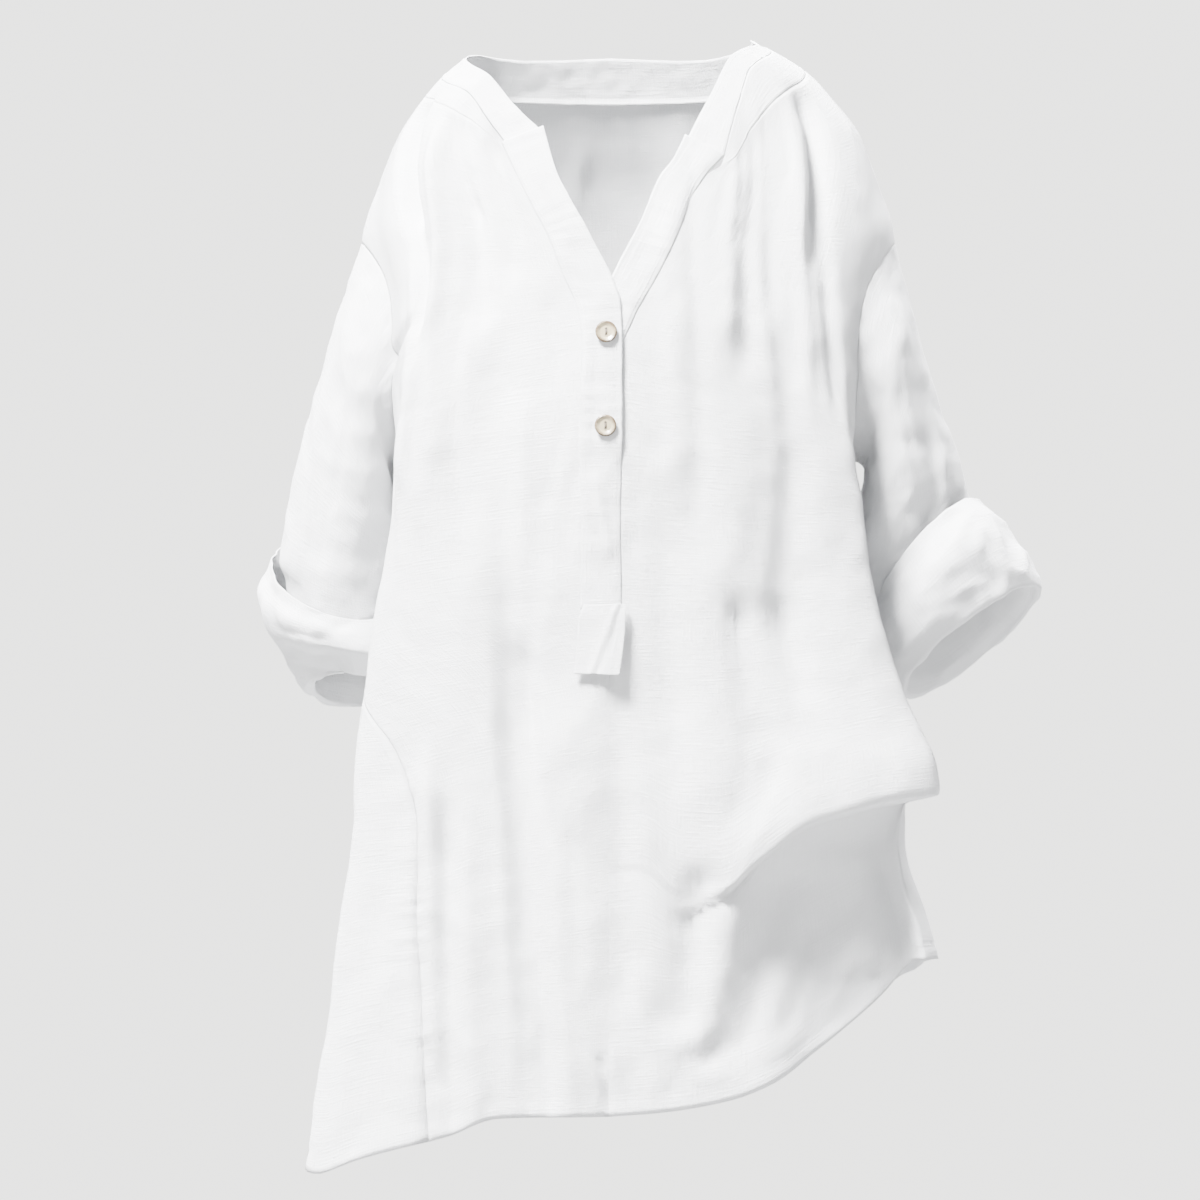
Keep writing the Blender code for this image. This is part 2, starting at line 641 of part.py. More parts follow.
def draw_edges_in(mesh):
    """Moves each open edge a little into its own surface, so that sewn pieces stay apart."""
    mesh.normal_update()
    square = {}
    for edge in mesh.edges:
        if edge.is_boundary:
            start, end = edge.verts
            face = edge.link_faces[0]
            inward = face.normal.cross(end.co - start.co).normalized()
            if inward.dot(face.calc_center_median() - start.co) < 0:
                inward.negate()
            for vert in (start, end):
                square[vert] = square.get(vert, inward * 0) + inward
    for vert, inward in square.items():
        if inward.length > CORNER:
            inward = sum((face.calc_center_median() for face in vert.link_faces), inward * 0)
            inward = inward / len(vert.link_faces) - vert.co
        square[vert] = inward.normalized()
    lowest = (UNDERARM - SHOULDER_BELOW) * MM
    for vert, inward in square.items():
        vert.co += inward * MM * (SHOULDER_BACK if vert.co.z > lowest else EDGE_BACK)


def cloth(name, grids, closed=False, turned=False, wall=WALL):
    """One piece of cloth: its grids joined, with a wall on the inner side."""
    mesh = bmesh.new()
    for rows, flipped in grids:
        add_grid(mesh, rows, closed, turned != flipped)
    bmesh.ops.remove_doubles(mesh, verts=mesh.verts, dist=1e-6)
    draw_edges_in(mesh)
    data = bpy.data.meshes.new(name)
    mesh.to_mesh(data)
    mesh.free()
    data.shade_smooth()
    data.materials.append(cloth_material(name + "_linen"))
    piece = bpy.data.objects.new(name, data)
    blouse.objects.link(piece)
    thick = piece.modifiers.new("cloth wall", "SOLIDIFY")
    thick.thickness = wall * MM
    thick.offset = -1
    return piece


def button(name, x, z):
    """A two-hole button: a turned disc with a dished face, holes one above the other."""
    radius, thick = BUTTON_RADIUS * MM, BUTTON_THICK * MM
    dish = BUTTON_DISH * MM
    profile = [(0, 0.62 * thick), (0.8 * dish, 0.62 * thick), (dish, 0.8 * thick), (0.86 * radius, thick),
               (radius, 0.72 * thick), (radius, 0.35 * thick), (0.88 * radius, 0), (0, 0)]
    outline = bpy.data.meshes.new(name)
    outline.from_pydata([(r, 0, h) for r, h in profile], [(i, i + 1) for i in range(len(profile) - 1)], [])
    outline.materials.append(button_material())
    disc = bpy.data.objects.new(name, outline)
    blouse.objects.link(disc)
    turn = disc.modifiers.new("turned", "SCREW")
    turn.steps = turn.render_steps = 20
    turn.use_merge_vertices = True
    turn.merge_threshold = 1e-5
    turn.use_smooth_shade = True
    for hole in (1, -1):
        cutter = bpy.data.meshes.new(f"{name}_hole")
        shape = bmesh.new()
        bmesh.ops.create_cone(shape, cap_ends=True, segments=8, radius1=BUTTON_HOLE * MM, radius2=BUTTON_HOLE * MM,
                              depth=4 * thick)
        shape.to_mesh(cutter)
        shape.free()
        drill = bpy.data.objects.new(f"{name}_hole", cutter)
        cutters.objects.link(drill)
        drill.parent = disc
        drill.location = (0, hole * BUTTON_HOLE_APART / 2 * MM, thick / 2)
        drill.hide_render = True
        drill.display_type = "WIRE"
        cut = disc.modifiers.new("thread hole", "BOOLEAN")
        cut.object = drill
        cut.operation = "DIFFERENCE"
        cut.solver = "EXACT"
    rest = PLACKET_TOP_OUT + LAID_ON
    spot = laid_on(np.array([x, x, x + 1.0]), np.array([float(z), z - 1.0, z]), np.array([rest, rest, rest]))
    down, right = unit(spot[1] - spot[0]), unit(spot[2] - spot[0])
    out = unit(np.cross(down, right))
    up = np.cross(out, right)
    disc.location = spot[0] * MM
    disc.rotation_euler = Matrix(np.stack([right, up, out], -1).tolist()).to_euler()
    return disc


def start_collection(name, hidden=False):
    made = bpy.data.collections.new(name)
    bpy.context.scene.collection.children.link(made)
    made.hide_render = hidden
    return made


PANEL_OUT = 1.5 * LAID_ON + WALL  # outer face of the first layer on the front
PLACKET_TOP_OUT = PANEL_OUT + LAID_ON + WALL + 0.1  # outer face of the second layer

for old in list(bpy.data.objects):
    bpy.data.objects.remove(old, do_unlink=True)

blouse = start_collection("half_button_blouse")
cutters = start_collection("cutters", hidden=True)

cloth("front", [(front_half("right"), True), (front_half("left"), False)])
cloth("back", [(back_half("right"), False), (back_half("left"), True),
               (shoulder_tongue("right"), True), (shoulder_tongue("left"), False)])
cloth("sleeve_right", [(sleeve_rows("right"), True)], closed=True)
cloth("sleeve_left", [(sleeve_rows("left"), False)], closed=True)
cloth("cuff_right", [(cuff_rows("right"), False)], closed=True)
cloth("cuff_left", [(cuff_rows("left"), True)], closed=True)
cloth("neckband", [(band_rows(), True)])
cloth("placket_left", [(strip_rows(PLACKET_LEFT, PLACKET_ACROSS, [PANEL_OUT] * 5), False)])
cloth("placket_right", [(strip_rows(PLACKET_RIGHT, PLACKET_ACROSS,
                                    [PANEL_OUT, PANEL_OUT, PLACKET_TOP_OUT, PLACKET_TOP_OUT, PLACKET_TOP_OUT]), True)])
cloth("placket_tab", [(tab_rows(), True)])
for button_name, (button_x, button_z) in BUTTONS.items():
    button(button_name, button_x, button_z)
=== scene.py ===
import math

import bmesh
import bpy
import numpy as np
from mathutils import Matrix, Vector, noise


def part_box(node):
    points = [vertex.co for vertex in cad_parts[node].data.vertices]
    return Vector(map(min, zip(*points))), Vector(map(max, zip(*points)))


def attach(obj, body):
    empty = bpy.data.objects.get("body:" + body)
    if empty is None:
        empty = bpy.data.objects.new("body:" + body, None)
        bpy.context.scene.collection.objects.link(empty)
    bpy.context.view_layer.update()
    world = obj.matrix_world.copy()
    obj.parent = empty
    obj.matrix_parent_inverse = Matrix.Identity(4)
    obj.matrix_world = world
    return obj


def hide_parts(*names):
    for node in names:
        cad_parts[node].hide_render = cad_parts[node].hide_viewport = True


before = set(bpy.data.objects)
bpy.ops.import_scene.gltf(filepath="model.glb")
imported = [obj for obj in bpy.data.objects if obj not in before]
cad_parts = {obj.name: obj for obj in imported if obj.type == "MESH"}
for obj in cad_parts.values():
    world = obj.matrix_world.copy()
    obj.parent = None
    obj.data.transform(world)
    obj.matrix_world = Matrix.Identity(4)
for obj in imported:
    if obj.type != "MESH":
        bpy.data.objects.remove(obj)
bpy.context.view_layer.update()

# A half-button blouse of white linen, filled out and empty. X is the wearer's left, Y the back, Z up. The
# tables are in millimetres and degrees, and angles on the body are measured from the middle of its front.
mm = 0.001
sides = ("right", "left")
cloth = {"wall": 0.8, "rows": 190, "columns": 68, "around": 100}


def through(knots, values, at):  # a smooth curve through the values at the knots, which never overshoots
    knots = np.asarray(knots, float)
    at = np.clip(np.asarray(at, float), knots[0], knots[-1])
    values = np.broadcast_to(np.asarray(values, float), at.shape + knots.shape)
    gap = np.diff(knots)
    rise = np.diff(values, axis=-1) / gap
    before, after = rise[..., :-1], rise[..., 1:]
    turns = before * after <= 0
    inner = np.where(turns, 0, 2 * before * after / np.where(turns, 1, before + after))
    slope = np.concatenate([rise[..., :1], inner, rise[..., -1:]], axis=-1)
    i = np.clip(np.searchsorted(knots, at, side="right") - 1, 0, len(gap) - 1)
    t = (at - knots[i]) / gap[i]

    def pick(array, index):
        return np.take_along_axis(array, index[..., None], -1)[..., 0]

    start, end = pick(values, i), pick(values, i + 1)
    leave, arrive = pick(slope, i) * gap[i], pick(slope, i + 1) * gap[i]
    return (start * (1 + 2 * t) * (1 - t) ** 2 + leave * t * (1 - t) ** 2
            + end * t * t * (3 - 2 * t) + arrive * t * t * (t - 1))


def ease(t):  # from 0 to 1 with a soft start and end
    t = np.clip(t, 0, 1)
    return t * t * (3 - 2 * t)


def swell(distance, width):  # 1 in the middle, near nothing at twice the width
    return np.exp(-((distance / width) ** 2))


def sign(side):
    return -1 if side == "right" else 1


def unit(vectors):
    return vectors / np.linalg.norm(vectors, axis=-1, keepdims=True)


def moreRows(grid, rows):  # a smooth grid of that many rows through the same points
    values = np.moveaxis(grid, 0, -1)[..., None, :]
    at = np.linspace(0, len(grid) - 1, rows + 1)
    fine = through(np.arange(len(grid)), values, np.broadcast_to(at, values.shape[:-2] + at.shape))
    return np.moveaxis(fine, -1, 0)


def finer(field, rows, columns):
    tall = moreRows(field, rows)
    return np.moveaxis(moreRows(np.moveaxis(tall, 1, 0), columns), 0, 1)


def roughness(points, size, shift):  # smooth noise at each point
    flat = points.reshape(-1, 3) / size
    rough = [noise.noise(Vector((p[0] + shift, p[1], p[2]))) for p in flat]
    return np.array(rough).reshape(points.shape[:-1])


def crumpled(points, shift, tall=1.5, size=30):  # moves a grid in and out by noise, along its own normals
    normal = np.cross(np.gradient(points, axis=0), np.gradient(points, axis=1))
    normal = normal / np.maximum(np.linalg.norm(normal, axis=-1, keepdims=True), 1e-9)
    creases = 0.5 - 2 * np.abs(roughness(points, size, shift))
    fine = 0.35 * roughness(points, size / 2.6, shift + 5)
    return points + normal * (tall * (creases + fine))[..., None]


# The plain body, one ring in each row: its height, its reach to the front and the back, and then the half
# widths of its front corner and its side, on the right and on the left.
body = {
    "rings": (
        (-790, 154, 140, 214, 206, 240, 230), (-707, 149, 135, 202, 194, 236, 224),
        (-623, 143, 128, 190, 180, 229, 216), (-560, 138, 122, 182, 170, 214, 204),
        (-500, 134, 116, 179, 156, 212, 192), (-448, 131, 112, 172, 134, 196, 168),
        (-396, 130, 112, 165, 134, 183, 161), (-343, 129, 114, 157, 138, 176, 162),
        (-285, 128, 116, 151, 147, 168, 166), (-259, 127, 116, 148, 153, 164, 173),
        (-206, 121, 115, 140, 165, 155, 185), (-175, 115, 113, 131, 172, 149, 193),
        (-133, 106, 108, 122, 176, 141, 200), (-91, 92, 98, 120, 164, 134, 188),
        (-56, 76, 83, 114, 150, 124, 175), (-28, 62, 71, 102, 131, 111, 153),
        (-15, 56, 68, 94, 120, 104, 141), (0, 50, 64, 84, 103, 94, 119),
        (10, 44, 58, 72, 90, 82, 99),
    ),
    "frontCorner": 52,  # angles of the corners in front and behind
    "backCorner": 130,
    "frontDepth": 0.70,  # shares of the full depth or width that those corners have
    "backDepth": 0.74,
    "backWidth": 0.80,
}


def bodyRing(angle, height):
    heights, *sizes = zip(*body["rings"])
    front, back, frontRight, sideRight, frontLeft, sideLeft = (through(heights, s, height) for s in sizes)
    ahead, behind, zero = body["frontCorner"], body["backCorner"], np.zeros_like(front)
    backRight, backLeft = body["backWidth"] * sideRight, body["backWidth"] * sideLeft
    stations = (-270, behind - 360, -180, -behind, -90, -ahead, 0, ahead, 90, behind, 180, 360 - behind, 270)
    across = [sideLeft, backLeft, zero, -backRight, -sideRight, -frontRight, zero, frontLeft, sideLeft,
              backLeft, zero, -backRight, -sideRight]
    far, near = body["backDepth"] * back, -body["frontDepth"] * front
    deep = [zero, far, back, far, zero, near, -front, near, zero, far, back, far, zero]
    return through(stations, np.stack(across, -1), angle), through(stations, np.stack(deep, -1), angle)


def frontAngle(x, height):  # the angle at which the plain body passes x on its front
    x, height = np.broadcast_arrays(np.asarray(x, float), np.asarray(height, float))
    side, want = np.where(x < 0, -1.0, 1.0), np.abs(x)
    tries = np.linspace(0, 90, 31)
    last, step = len(tries) - 1, tries[1]
    signed = side[..., None] * tries
    reach = np.abs(bodyRing(signed, np.broadcast_to(height[..., None], signed.shape))[0])
    past = reach >= want[..., None]
    i = np.clip(np.where(past.any(-1), past.argmax(-1), last), 1, last)
    low, high = step * (i - 1), step * i
    for _ in range(9):
        middle = (low + high) / 2
        short = np.abs(bodyRing(side * middle, height)[0]) < want
        low, high = np.where(short, middle, low), np.where(short, high, middle)
    return side * (low + high) / 2


hem = {
    "x": (-214, -204, -169, -115, -78, 0, 62, 104, 146, 188, 228),
    "z": (-777, -783, -770, -756, -743, -741, -735, -724, -700, -668, -635),
    "turned": 10,  # width of the turned-up hem, its step, and the groove along its stitches
    "step": 0.5,
    "groove": 0.7,
    "grooveWidth": 1.4,
    "puckers": 0.4,
    "puckerWidth": 7,
}


def hemHeight(angle):
    height = np.full_like(np.asarray(angle, float), -700)
    for _ in range(12):
        height = 0.5 * height + 0.5 * through(hem["x"], hem["z"], bodyRing(angle, height)[0])
    return height


hemAngles = np.linspace(-270, 270, 541)
hemLine = hemHeight(hemAngles)

# The right side seam runs forward below the waist, and its puckers grow there.
sideSeam = {
    "z": (-790, -756, -651, -595, -536, -490, -465, -430, -380, -285),
    "right": (24, 25, 28, 30, 31, 36, 44, 66, 84, 90),
    "left": (90,) * 10,
    "foot": {"right": -770.0, "left": -640.0},  # about how low it ends
    "puckerZ": (-760, -540, -470, -285),
    "puckers": {"right": (0.55, 0.55, 0.165, 0.165), "left": (0.22,) * 4},
    "puckerWidth": 7,
    "groove": 0.4,
    "grooveWidth": 1.8,
}
armhole = {"top": -133, "under": -285, "front": 23, "back": 27}


def seamsOut(angle, height, perDegree):  # the hem's step, and the grooves and puckers of the seams
    above = height - np.interp(angle, hemAngles, hemLine)
    place = angle * perDegree
    waves = np.sin(place / 4.1 + 2.2 * np.sin(angle / 3.7)) + 0.6 * np.sin(place / 2.3)
    fromStitches = above - hem["turned"]
    out = hem["step"] * ease((1 - fromStitches) / 2) - hem["groove"] * swell(fromStitches, hem["grooveWidth"])
    out += hem["puckers"] * waves * swell(fromStitches, hem["puckerWidth"])
    waves = np.sin(height / 2.6 + 1.8 * np.sin(height / 11)) + 0.7 * np.sin(height / 1.5)
    for side in sides:
        off = (angle - sign(side) * np.interp(height, sideSeam["z"], sideSeam[side])) * perDegree
        tall = np.interp(height, sideSeam["puckerZ"], sideSeam["puckers"][side])
        pucker = tall * waves * swell(off, sideSeam["puckerWidth"])
        groove = sideSeam["groove"] * swell(off, sideSeam["grooveWidth"])
        out += ease((armhole["under"] - height) / 20) * (pucker - groove)
    return out


# The fold that hangs over the left hip, and the hollow below it. Drops are measured up from the fold's edge.
hip = {
    "angle": (8, 15, 19, 22, 26, 32, 39, 47, 62, 90, 130),
    "edge": (-606, -588, -570, -557, -541, -531, -524, -521, -519, -515, -505),
    "out": (0, 4, 9, 14, 18, 20, 20, 16, 10, 8, 0),
    "drop": (-150, -80, -30, -7, 0, 7, 60, 160),
    "share": (0, -0.45, -0.85, -0.75, 0.95, 1.05, 0.55, 0),
    "hollowAngle": (10, 20, 27, 42, 52, 60),
    "hollow": (0, 14, 36, 38, 16, 0),
    "hollowDrop": (-160, -80, -30, 0),
    "hollowShare": (1, 0.8, 0.35, 0),
    "easedOver": 12,  # degrees over which the grid's rows turn to follow the edge
    "pull": 0.13,  # share of its height that is pulled along
}

# A cut is in metres: width, length and flat area with its turnings. A fold has the places of both ends, its
# half width and its height, which is negative for a trough. Places on the front are x and height.
frontPanel = {
    "cut": (0.52, 0.76, 0.300),
    "folds": (
        (-117, -40, -96, -118, 7, -4), (-104, -46, -92, -190, 8, -5), (-84, -62, -70, -160, 8, -4),
        (-134, -38, -140, -120, 8, -6), (-122, -60, -126, -280, 9, 5), (132, -30, 144, -150, 10, -7),
        (112, -40, 108, -190, 8, -3), (98, -58, 90, -230, 9, -4), (88, -80, 78, -200, 8, 3),
        (-78, -210, -76, -400, 16, -4), (-72, -400, -46, -735, 17, -12), (-118, -540, -116, -750, 10, -6),
        (-102, -540, -96, -745, 10, 4), (-128, -500, -118, -752, 8, 7), (-30, -460, -20, -720, 24, 5),
        (72, -120, 72, -520, 30, 5), (116, -200, 118, -420, 18, -5), (86, -385, 112, -520, 9, -5),
        (114, -385, 132, -450, 9, -4), (60, -575, 50, -680, 14, -7), (78, -590, 64, -690, 16, 5),
        (124, -575, 76, -700, 18, -8), (170, -560, 182, -640, 24, 6),
    ),
    "creases": (
        (-112, -48, -104, -96, 2.6, -1.6), (-98, -54, -86, -112, 2.4, -1.4), (-91, -58, -77, -92, 2.2, 1.2),
        (-80, -68, -62, -128, 2.6, -1.3), (-108, -44, -97, -84, 2.2, 1.3), (118, -36, 124, -92, 2.6, -1.6),
        (106, -46, 108, -118, 2.5, -1.5), (95, -62, 93, -124, 2.2, 1.2), (90, -72, 84, -140, 2.5, -1.4),
        (80, -84, 71, -132, 2.4, -1.2), (-140, -150, -136, -330, 5, 2.2), (-150, -240, -142, -420, 5, -2),
        (-32, -262, -46, -318, 3, -1.3), (-26, -292, -34, -372, 3, -1.2), (-12, -300, -2, -352, 3.5, 1.2),
        (20, -296, 12, -372, 3, -1.1), (-44, -176, -36, -232, 3, -1.3), (34, -168, 44, -226, 3, 1.1),
        (-60, -420, -52, -520, 6, -2.2), (-88, -300, -84, -470, 8, 1.6), (34, -330, 44, -520, 9, -2),
        (4, -452, 10, -650, 9, -2.2), (98, -470, 84, -540, 5, -2), (126, -486, 96, -556, 5, 1.8),
        (-136, -520, -150, -548, 3, -1.5), (-134, -556, -146, -604, 3.2, 1.5),
        (-140, -620, -152, -640, 3, -1.4), (-130, -690, -118, -724, 4, -1.8),
        (-60, -620, -52, -738, 6, 2), (-8, -700, 0, -738, 4, -2.4), (20, -640, 26, -730, 7, 2),
        (56, -660, 44, -728, 5, -2), (96, -640, 72, -716, 5, 2.2), (146, -610, 122, -686, 6, -2.4),
        (178, -600, 160, -668, 6, 2), (200, -610, 192, -650, 5, -1.8), (-130, -34, -133, -205, 6, -6),
        (-119, -46, -124, -190, 5, 4), (-126, -180, -146, -300, 5, 3.5), (-140, -190, -154, -270, 6, -5),
        (137, -34, 143, -120, 5, -4), (129, -60, 136, -250, 6, 3), (150, -150, 158, -250, 7, -4),
        (-64, -420, -40, -560, 7, -4), (-84, -430, -66, -700, 7, 3), (-50, -480, -30, -735, 7, 3.5),
        (40, -120, 44, -300, 10, 2.5), (56, -90, 58, -330, 5, -2), (100, -130, 104, -380, 6, 2),
        (86, -390, 94, -480, 4, -2.5), (92, -400, 104, -500, 4, 2), (-100, -100, -104, -330, 5, -2),
        (-60, -250, -64, -420, 6, 2), (-30, -540, -22, -640, 6, -2),
    ),
}
# Places on the back are angle and height.
backPanel = {
    "cut": (0.66, 0.80, 0.395),
    "folds": (
        (-150, -60, -152, -330, 16, 5), (-166, -110, -164, -520, 14, -6), (178, -150, 176, -600, 18, 6),
        (164, -70, 160, -420, 14, -6), (146, -90, 140, -560, 16, 5), (-140, -330, -134, -770, 20, -9),
        (-120, -420, -112, -770, 16, 8), (-158, -420, -150, -750, 18, 7), (-100, -480, -92, -770, 12, -6),
        (-66, -500, -62, -770, 14, -5), (170, -430, 166, -730, 18, -8), (128, -330, 122, -650, 18, -7),
        (108, -380, 100, -640, 14, 5), (-172, -60, -168, -170, 4, -2), (-128, -120, -122, -260, 5, 2.2),
        (154, -80, 150, -200, 4, -2), (134, -180, 126, -330, 5, -2.2), (-178, -560, -172, -735, 7, -2.6),
        (150, -520, 146, -720, 7, 2.6), (-146, -600, -142, -760, 6, 2.4), (116, -500, 112, -650, 6, -2.4),
        (-84, -560, -80, -760, 5, -2.2), (-50, -560, -48, -765, 5, 2.2), (-38, -600, -37, -760, 4, -1.8),
    ),
}
drape = {
    "foldDepth": 1.25,
    "runOut": 0.25,  # share of a fold's length over which each end fades
    "crumple": 46,  # size and height of the large crumples, then of the small ones
    "crumpleTall": 2.3,
    "ripple": 18,
    "rippleTall": 0.8,
    "upright": 0.45,  # the large ones are longer upright than across
    "calmest": 0.35,  # what is left of them at the shoulders, and the heights over which they grow
    "calmFrom": -60,
    "calmOver": 120,
}
buttonSpots = {"button_top": (-4, -200), "button_bottom": (-4.5, -264.5)}  # x and height
flatRound = 17  # the cloth lies flat this far round a button


def foldPaths():
    for x0, z0, x1, z1, width, tall in frontPanel["folds"] + frontPanel["creases"]:
        yield float(frontAngle(x0, z0)), z0, float(frontAngle(x1, z1)), z1, width, tall
    yield from backPanel["folds"]


folds = tuple(foldPaths())


def foldsOut(angle, height, perDegree):
    out = np.zeros_like(angle)
    for a0, z0, a1, z1, width, tall in folds:
        t = (height - z0) / (z1 - z0)
        off = (angle - (a0 + (a1 - a0) * np.clip(t, 0, 1)) + 180) % 360 - 180
        ends = ease(t / drape["runOut"] + 0.5) * ease((1 - t) / drape["runOut"] + 0.6)
        out += drape["foldDepth"] * tall * swell(off * perDegree, width) * ends
    drop = height - through(hip["angle"], hip["edge"], angle)
    out += through(hip["angle"], hip["out"], angle) * through(hip["drop"], hip["share"], drop)
    hollow = through(hip["hollowAngle"], hip["hollow"], angle)
    return out - hollow * through(hip["hollowDrop"], hip["hollowShare"], drop)


def crumplesOut(base):
    x, y, height = np.moveaxis(base, -1, 0)
    calm = drape["calmest"] + (1 - drape["calmest"]) * ease((drape["calmFrom"] - height) / drape["calmOver"])
    for spotX, spotZ in buttonSpots.values():
        away = np.hypot(x - spotX, height - spotZ)
        calm = calm * (1 - 0.95 * swell(away, flatRound) * (y < 0))
    large = 0.5 - 2 * np.abs(roughness(base * np.array([1, 1, drape["upright"]]), drape["crumple"], 3.1))
    small = roughness(base, drape["ripple"], 9.4)
    return calm * (drape["crumpleTall"] * large + drape["rippleTall"] * small)


def skin(angle, height, plain=False):  # points of the draped body, where plain leaves seams and crumples out
    angle, height = np.broadcast_arrays(np.asarray(angle, float), np.asarray(height, float))
    x, y = bodyRing(angle, height)
    aheadX, aheadY = bodyRing(angle + 0.5, height)
    behindX, behindY = bodyRing(angle - 0.5, height)
    alongX, alongY = aheadX - behindX, aheadY - behindY
    perDegree = np.hypot(alongX, alongY)
    out = foldsOut(angle, height, perDegree)
    if not plain:
        out = out + seamsOut(angle, height, perDegree) + crumplesOut(np.stack([x, y, height], -1))
    return np.stack([x + out * alongY / perDegree, y - out * alongX / perDegree, height], -1)


def laidOn(x, height, out):  # points that far out from the front of the body
    angle, height = frontAngle(x, height), np.asarray(height)
    turn, drop = 0.7, 1.0  # how far away its slope is measured
    around = skin(angle + turn, height) - skin(angle - turn, height)
    lower = skin(angle, height - drop) - skin(angle, height + drop)
    return skin(angle, height) + unit(np.cross(lower, around)) * np.asarray(out)[..., None]


def spaced(path, count):  # even steps over the body along a path of angles and heights
    fine = moreRows(np.asarray(path, float), 199)
    length = np.linalg.norm(np.diff(skin(fine[:, 0], fine[:, 1], plain=True), axis=0), axis=-1)
    travelled = np.concatenate([[0], np.cumsum(length)])
    wanted = np.linspace(0, travelled[-1], count + 1)
    return np.stack([np.interp(wanted, travelled, fine[:, i]) for i in (0, 1)], -1)


# The heights of the shoulder line at the armhole and at the neck, and x and height along the seams.
seams = {
    "crest": {"right": -28, "left": -8},
    "neckCrest": {"right": -15, "left": 6},
    "shoulder": {
        "right": ((-117, -38), (-96, -51), (-73, -71)),
        "left": ((113, -36), (97, -57), (88, -74), (76, -82)),
    },
    "neck": {
        "right": ((-101, -29), (-87, -49), (-75, -66)),
        "left": ((98, -10), (91, -30), (84, -54), (78, -76)),
    },
    "neckBack": -28,
    "neckStops": (90, 112, 135, 158, 180),
    "neckFalls": 75,  # degrees over which it falls behind
}
slit = {  # height and x of the front's edge beside the slit
    "right": ((-400, -2), (-385, -13), (-262, -14), (-203, -13), (-180, -17), (-158, -27), (-135, -35),
              (-114, -47), (-97, -56), (-69, -73)),
    "left": ((-400, -2), (-385, 0), (-250, 1), (-205, 2), (-186, 7), (-163, 21), (-135, 36), (-109, 47),
             (-94, 56), (-82, 76)),
}
# Steps of the coarse grids. The yoke is the share above the underarm, and down gives the rows below it.
steps = {
    "arm": 10, "crest": 7, "stepIn": 2, "seam": 10, "neck": 7, "yoke": 0.3,
    "down": (0, 0.06, 0.12, 0.18, 0.24, 0.30, 0.36, 0.42, 0.48, 0.54, 0.595, 0.638, 0.655, 0.674, 0.70, 0.75,
             0.80, 0.85, 0.90, 0.95, 1),
    "hipRow": 0.655,  # the row that follows the edge of the hip fold
    "halfFront": -235,  # heights of the middle edges at the underarm's row
    "halfBack": -260,
    "tongue": (60, 14),  # rows and columns of the stretches over the shoulders
}


def armholeAt(side, turn):
    swing = math.sin(math.radians(turn))
    reach = armhole["front"] if swing > 0 else armhole["back"]
    middle, half = (armhole["top"] + armhole["under"]) / 2, (armhole["top"] - armhole["under"]) / 2
    return (sign(side) * (90 - reach * swing), middle + half * math.cos(math.radians(turn)))


def sideEdge(side, front):
    def seamAt(height):
        return sign(side) * float(through(sideSeam["z"], sideSeam[side], height))

    turns = [180 * i / steps["arm"] * (1 if front else -1) for i in range(steps["arm"] + 1)]
    rows = [armholeAt(side, turn) for turn in turns]
    foot = sideSeam["foot"][side]
    for _ in range(8):
        foot = float(hemHeight(np.array([seamAt(foot)]))[0])
    for part in steps["down"][1:]:
        height = armhole["under"] + (foot - armhole["under"]) * part
        rows.append((seamAt(height), height))
    return np.array(rows)


def patch(outer, inner, top, bottom, pull=None):  # the field of angles and heights between four edges
    yoke, arm, crestShare = steps["yoke"], steps["arm"], (len(top) - 1) / steps["crest"]
    v = np.array([yoke * i / arm for i in range(arm)] + [yoke + (1 - yoke) * part for part in steps["down"]])
    v, u = v[:, None], np.linspace(0, 1, len(top))[None, :]
    fade = np.clip(1 - v / yoke, 0, 1) ** 1.5
    field = []
    for i, nearOuter, nearInner in ((0, ease(1 - u * crestShare), u**6), (1, 1 - u, u)):
        straight = (1 - u) * outer[:, None, i] + u * inner[:, None, i]
        shifts = nearOuter * (outer[:, None, i] - top[0, i]) + nearInner * (inner[:, None, i] - top[-1, i])
        sag = bottom[:, i] - ((1 - u) * bottom[0, i] + u * bottom[-1, i])
        field.append(fade * (top[:, i] + shifts) + (1 - fade) * straight + v**3 * sag)
    field = np.stack(field, -1)
    if pull is not None:
        field[..., 1] += pull(field)
    return field


def hipPull(field):  # pulls a row of the grid onto the edge of the hip fold
    row = steps["arm"] + steps["down"].index(steps["hipRow"])
    angle, height = field[row, :, 0], field[row, :, 1]
    inside = ease(angle / hip["easedOver"]) * ease(through(hip["angle"], hip["out"], angle) / 2)
    wanted = (through(hip["angle"], hip["edge"], angle) - height) * inside
    parts = np.array([-1.0] * steps["arm"] + list(steps["down"]))
    return wanted[None, :] * swell(parts - steps["hipRow"], hip["pull"])[:, None]


def toAngles(points):
    points = np.asarray(points, float)
    return np.stack([frontAngle(points[:, 0], points[:, 1]), points[:, 1]], -1)


def crest(side, low, high, count):
    return np.array([(sign(side) * 90.0, z) for z in np.linspace(low, high, count + 1)])


def seamPath(side, name, crestName):
    start = np.array([[sign(side) * 90.0, seams[crestName][side]]])
    return spaced(np.concatenate([start, toAngles(seams[name][side])]), steps["seam"])


def neckBack(side):
    high, fall = seams["neckCrest"][side], seams["neckBack"] - seams["neckCrest"][side]
    stops = [(sign(side) * a, high + fall * ease((a - 90) / seams["neckFalls"])) for a in seams["neckStops"]]
    return spaced(stops, steps["neck"])


def middleHeights(top, half, foot):
    upper = np.linspace(top, half, steps["arm"] + 1)
    return np.concatenate([upper, half + (foot - half) * np.array(steps["down"][1:])])


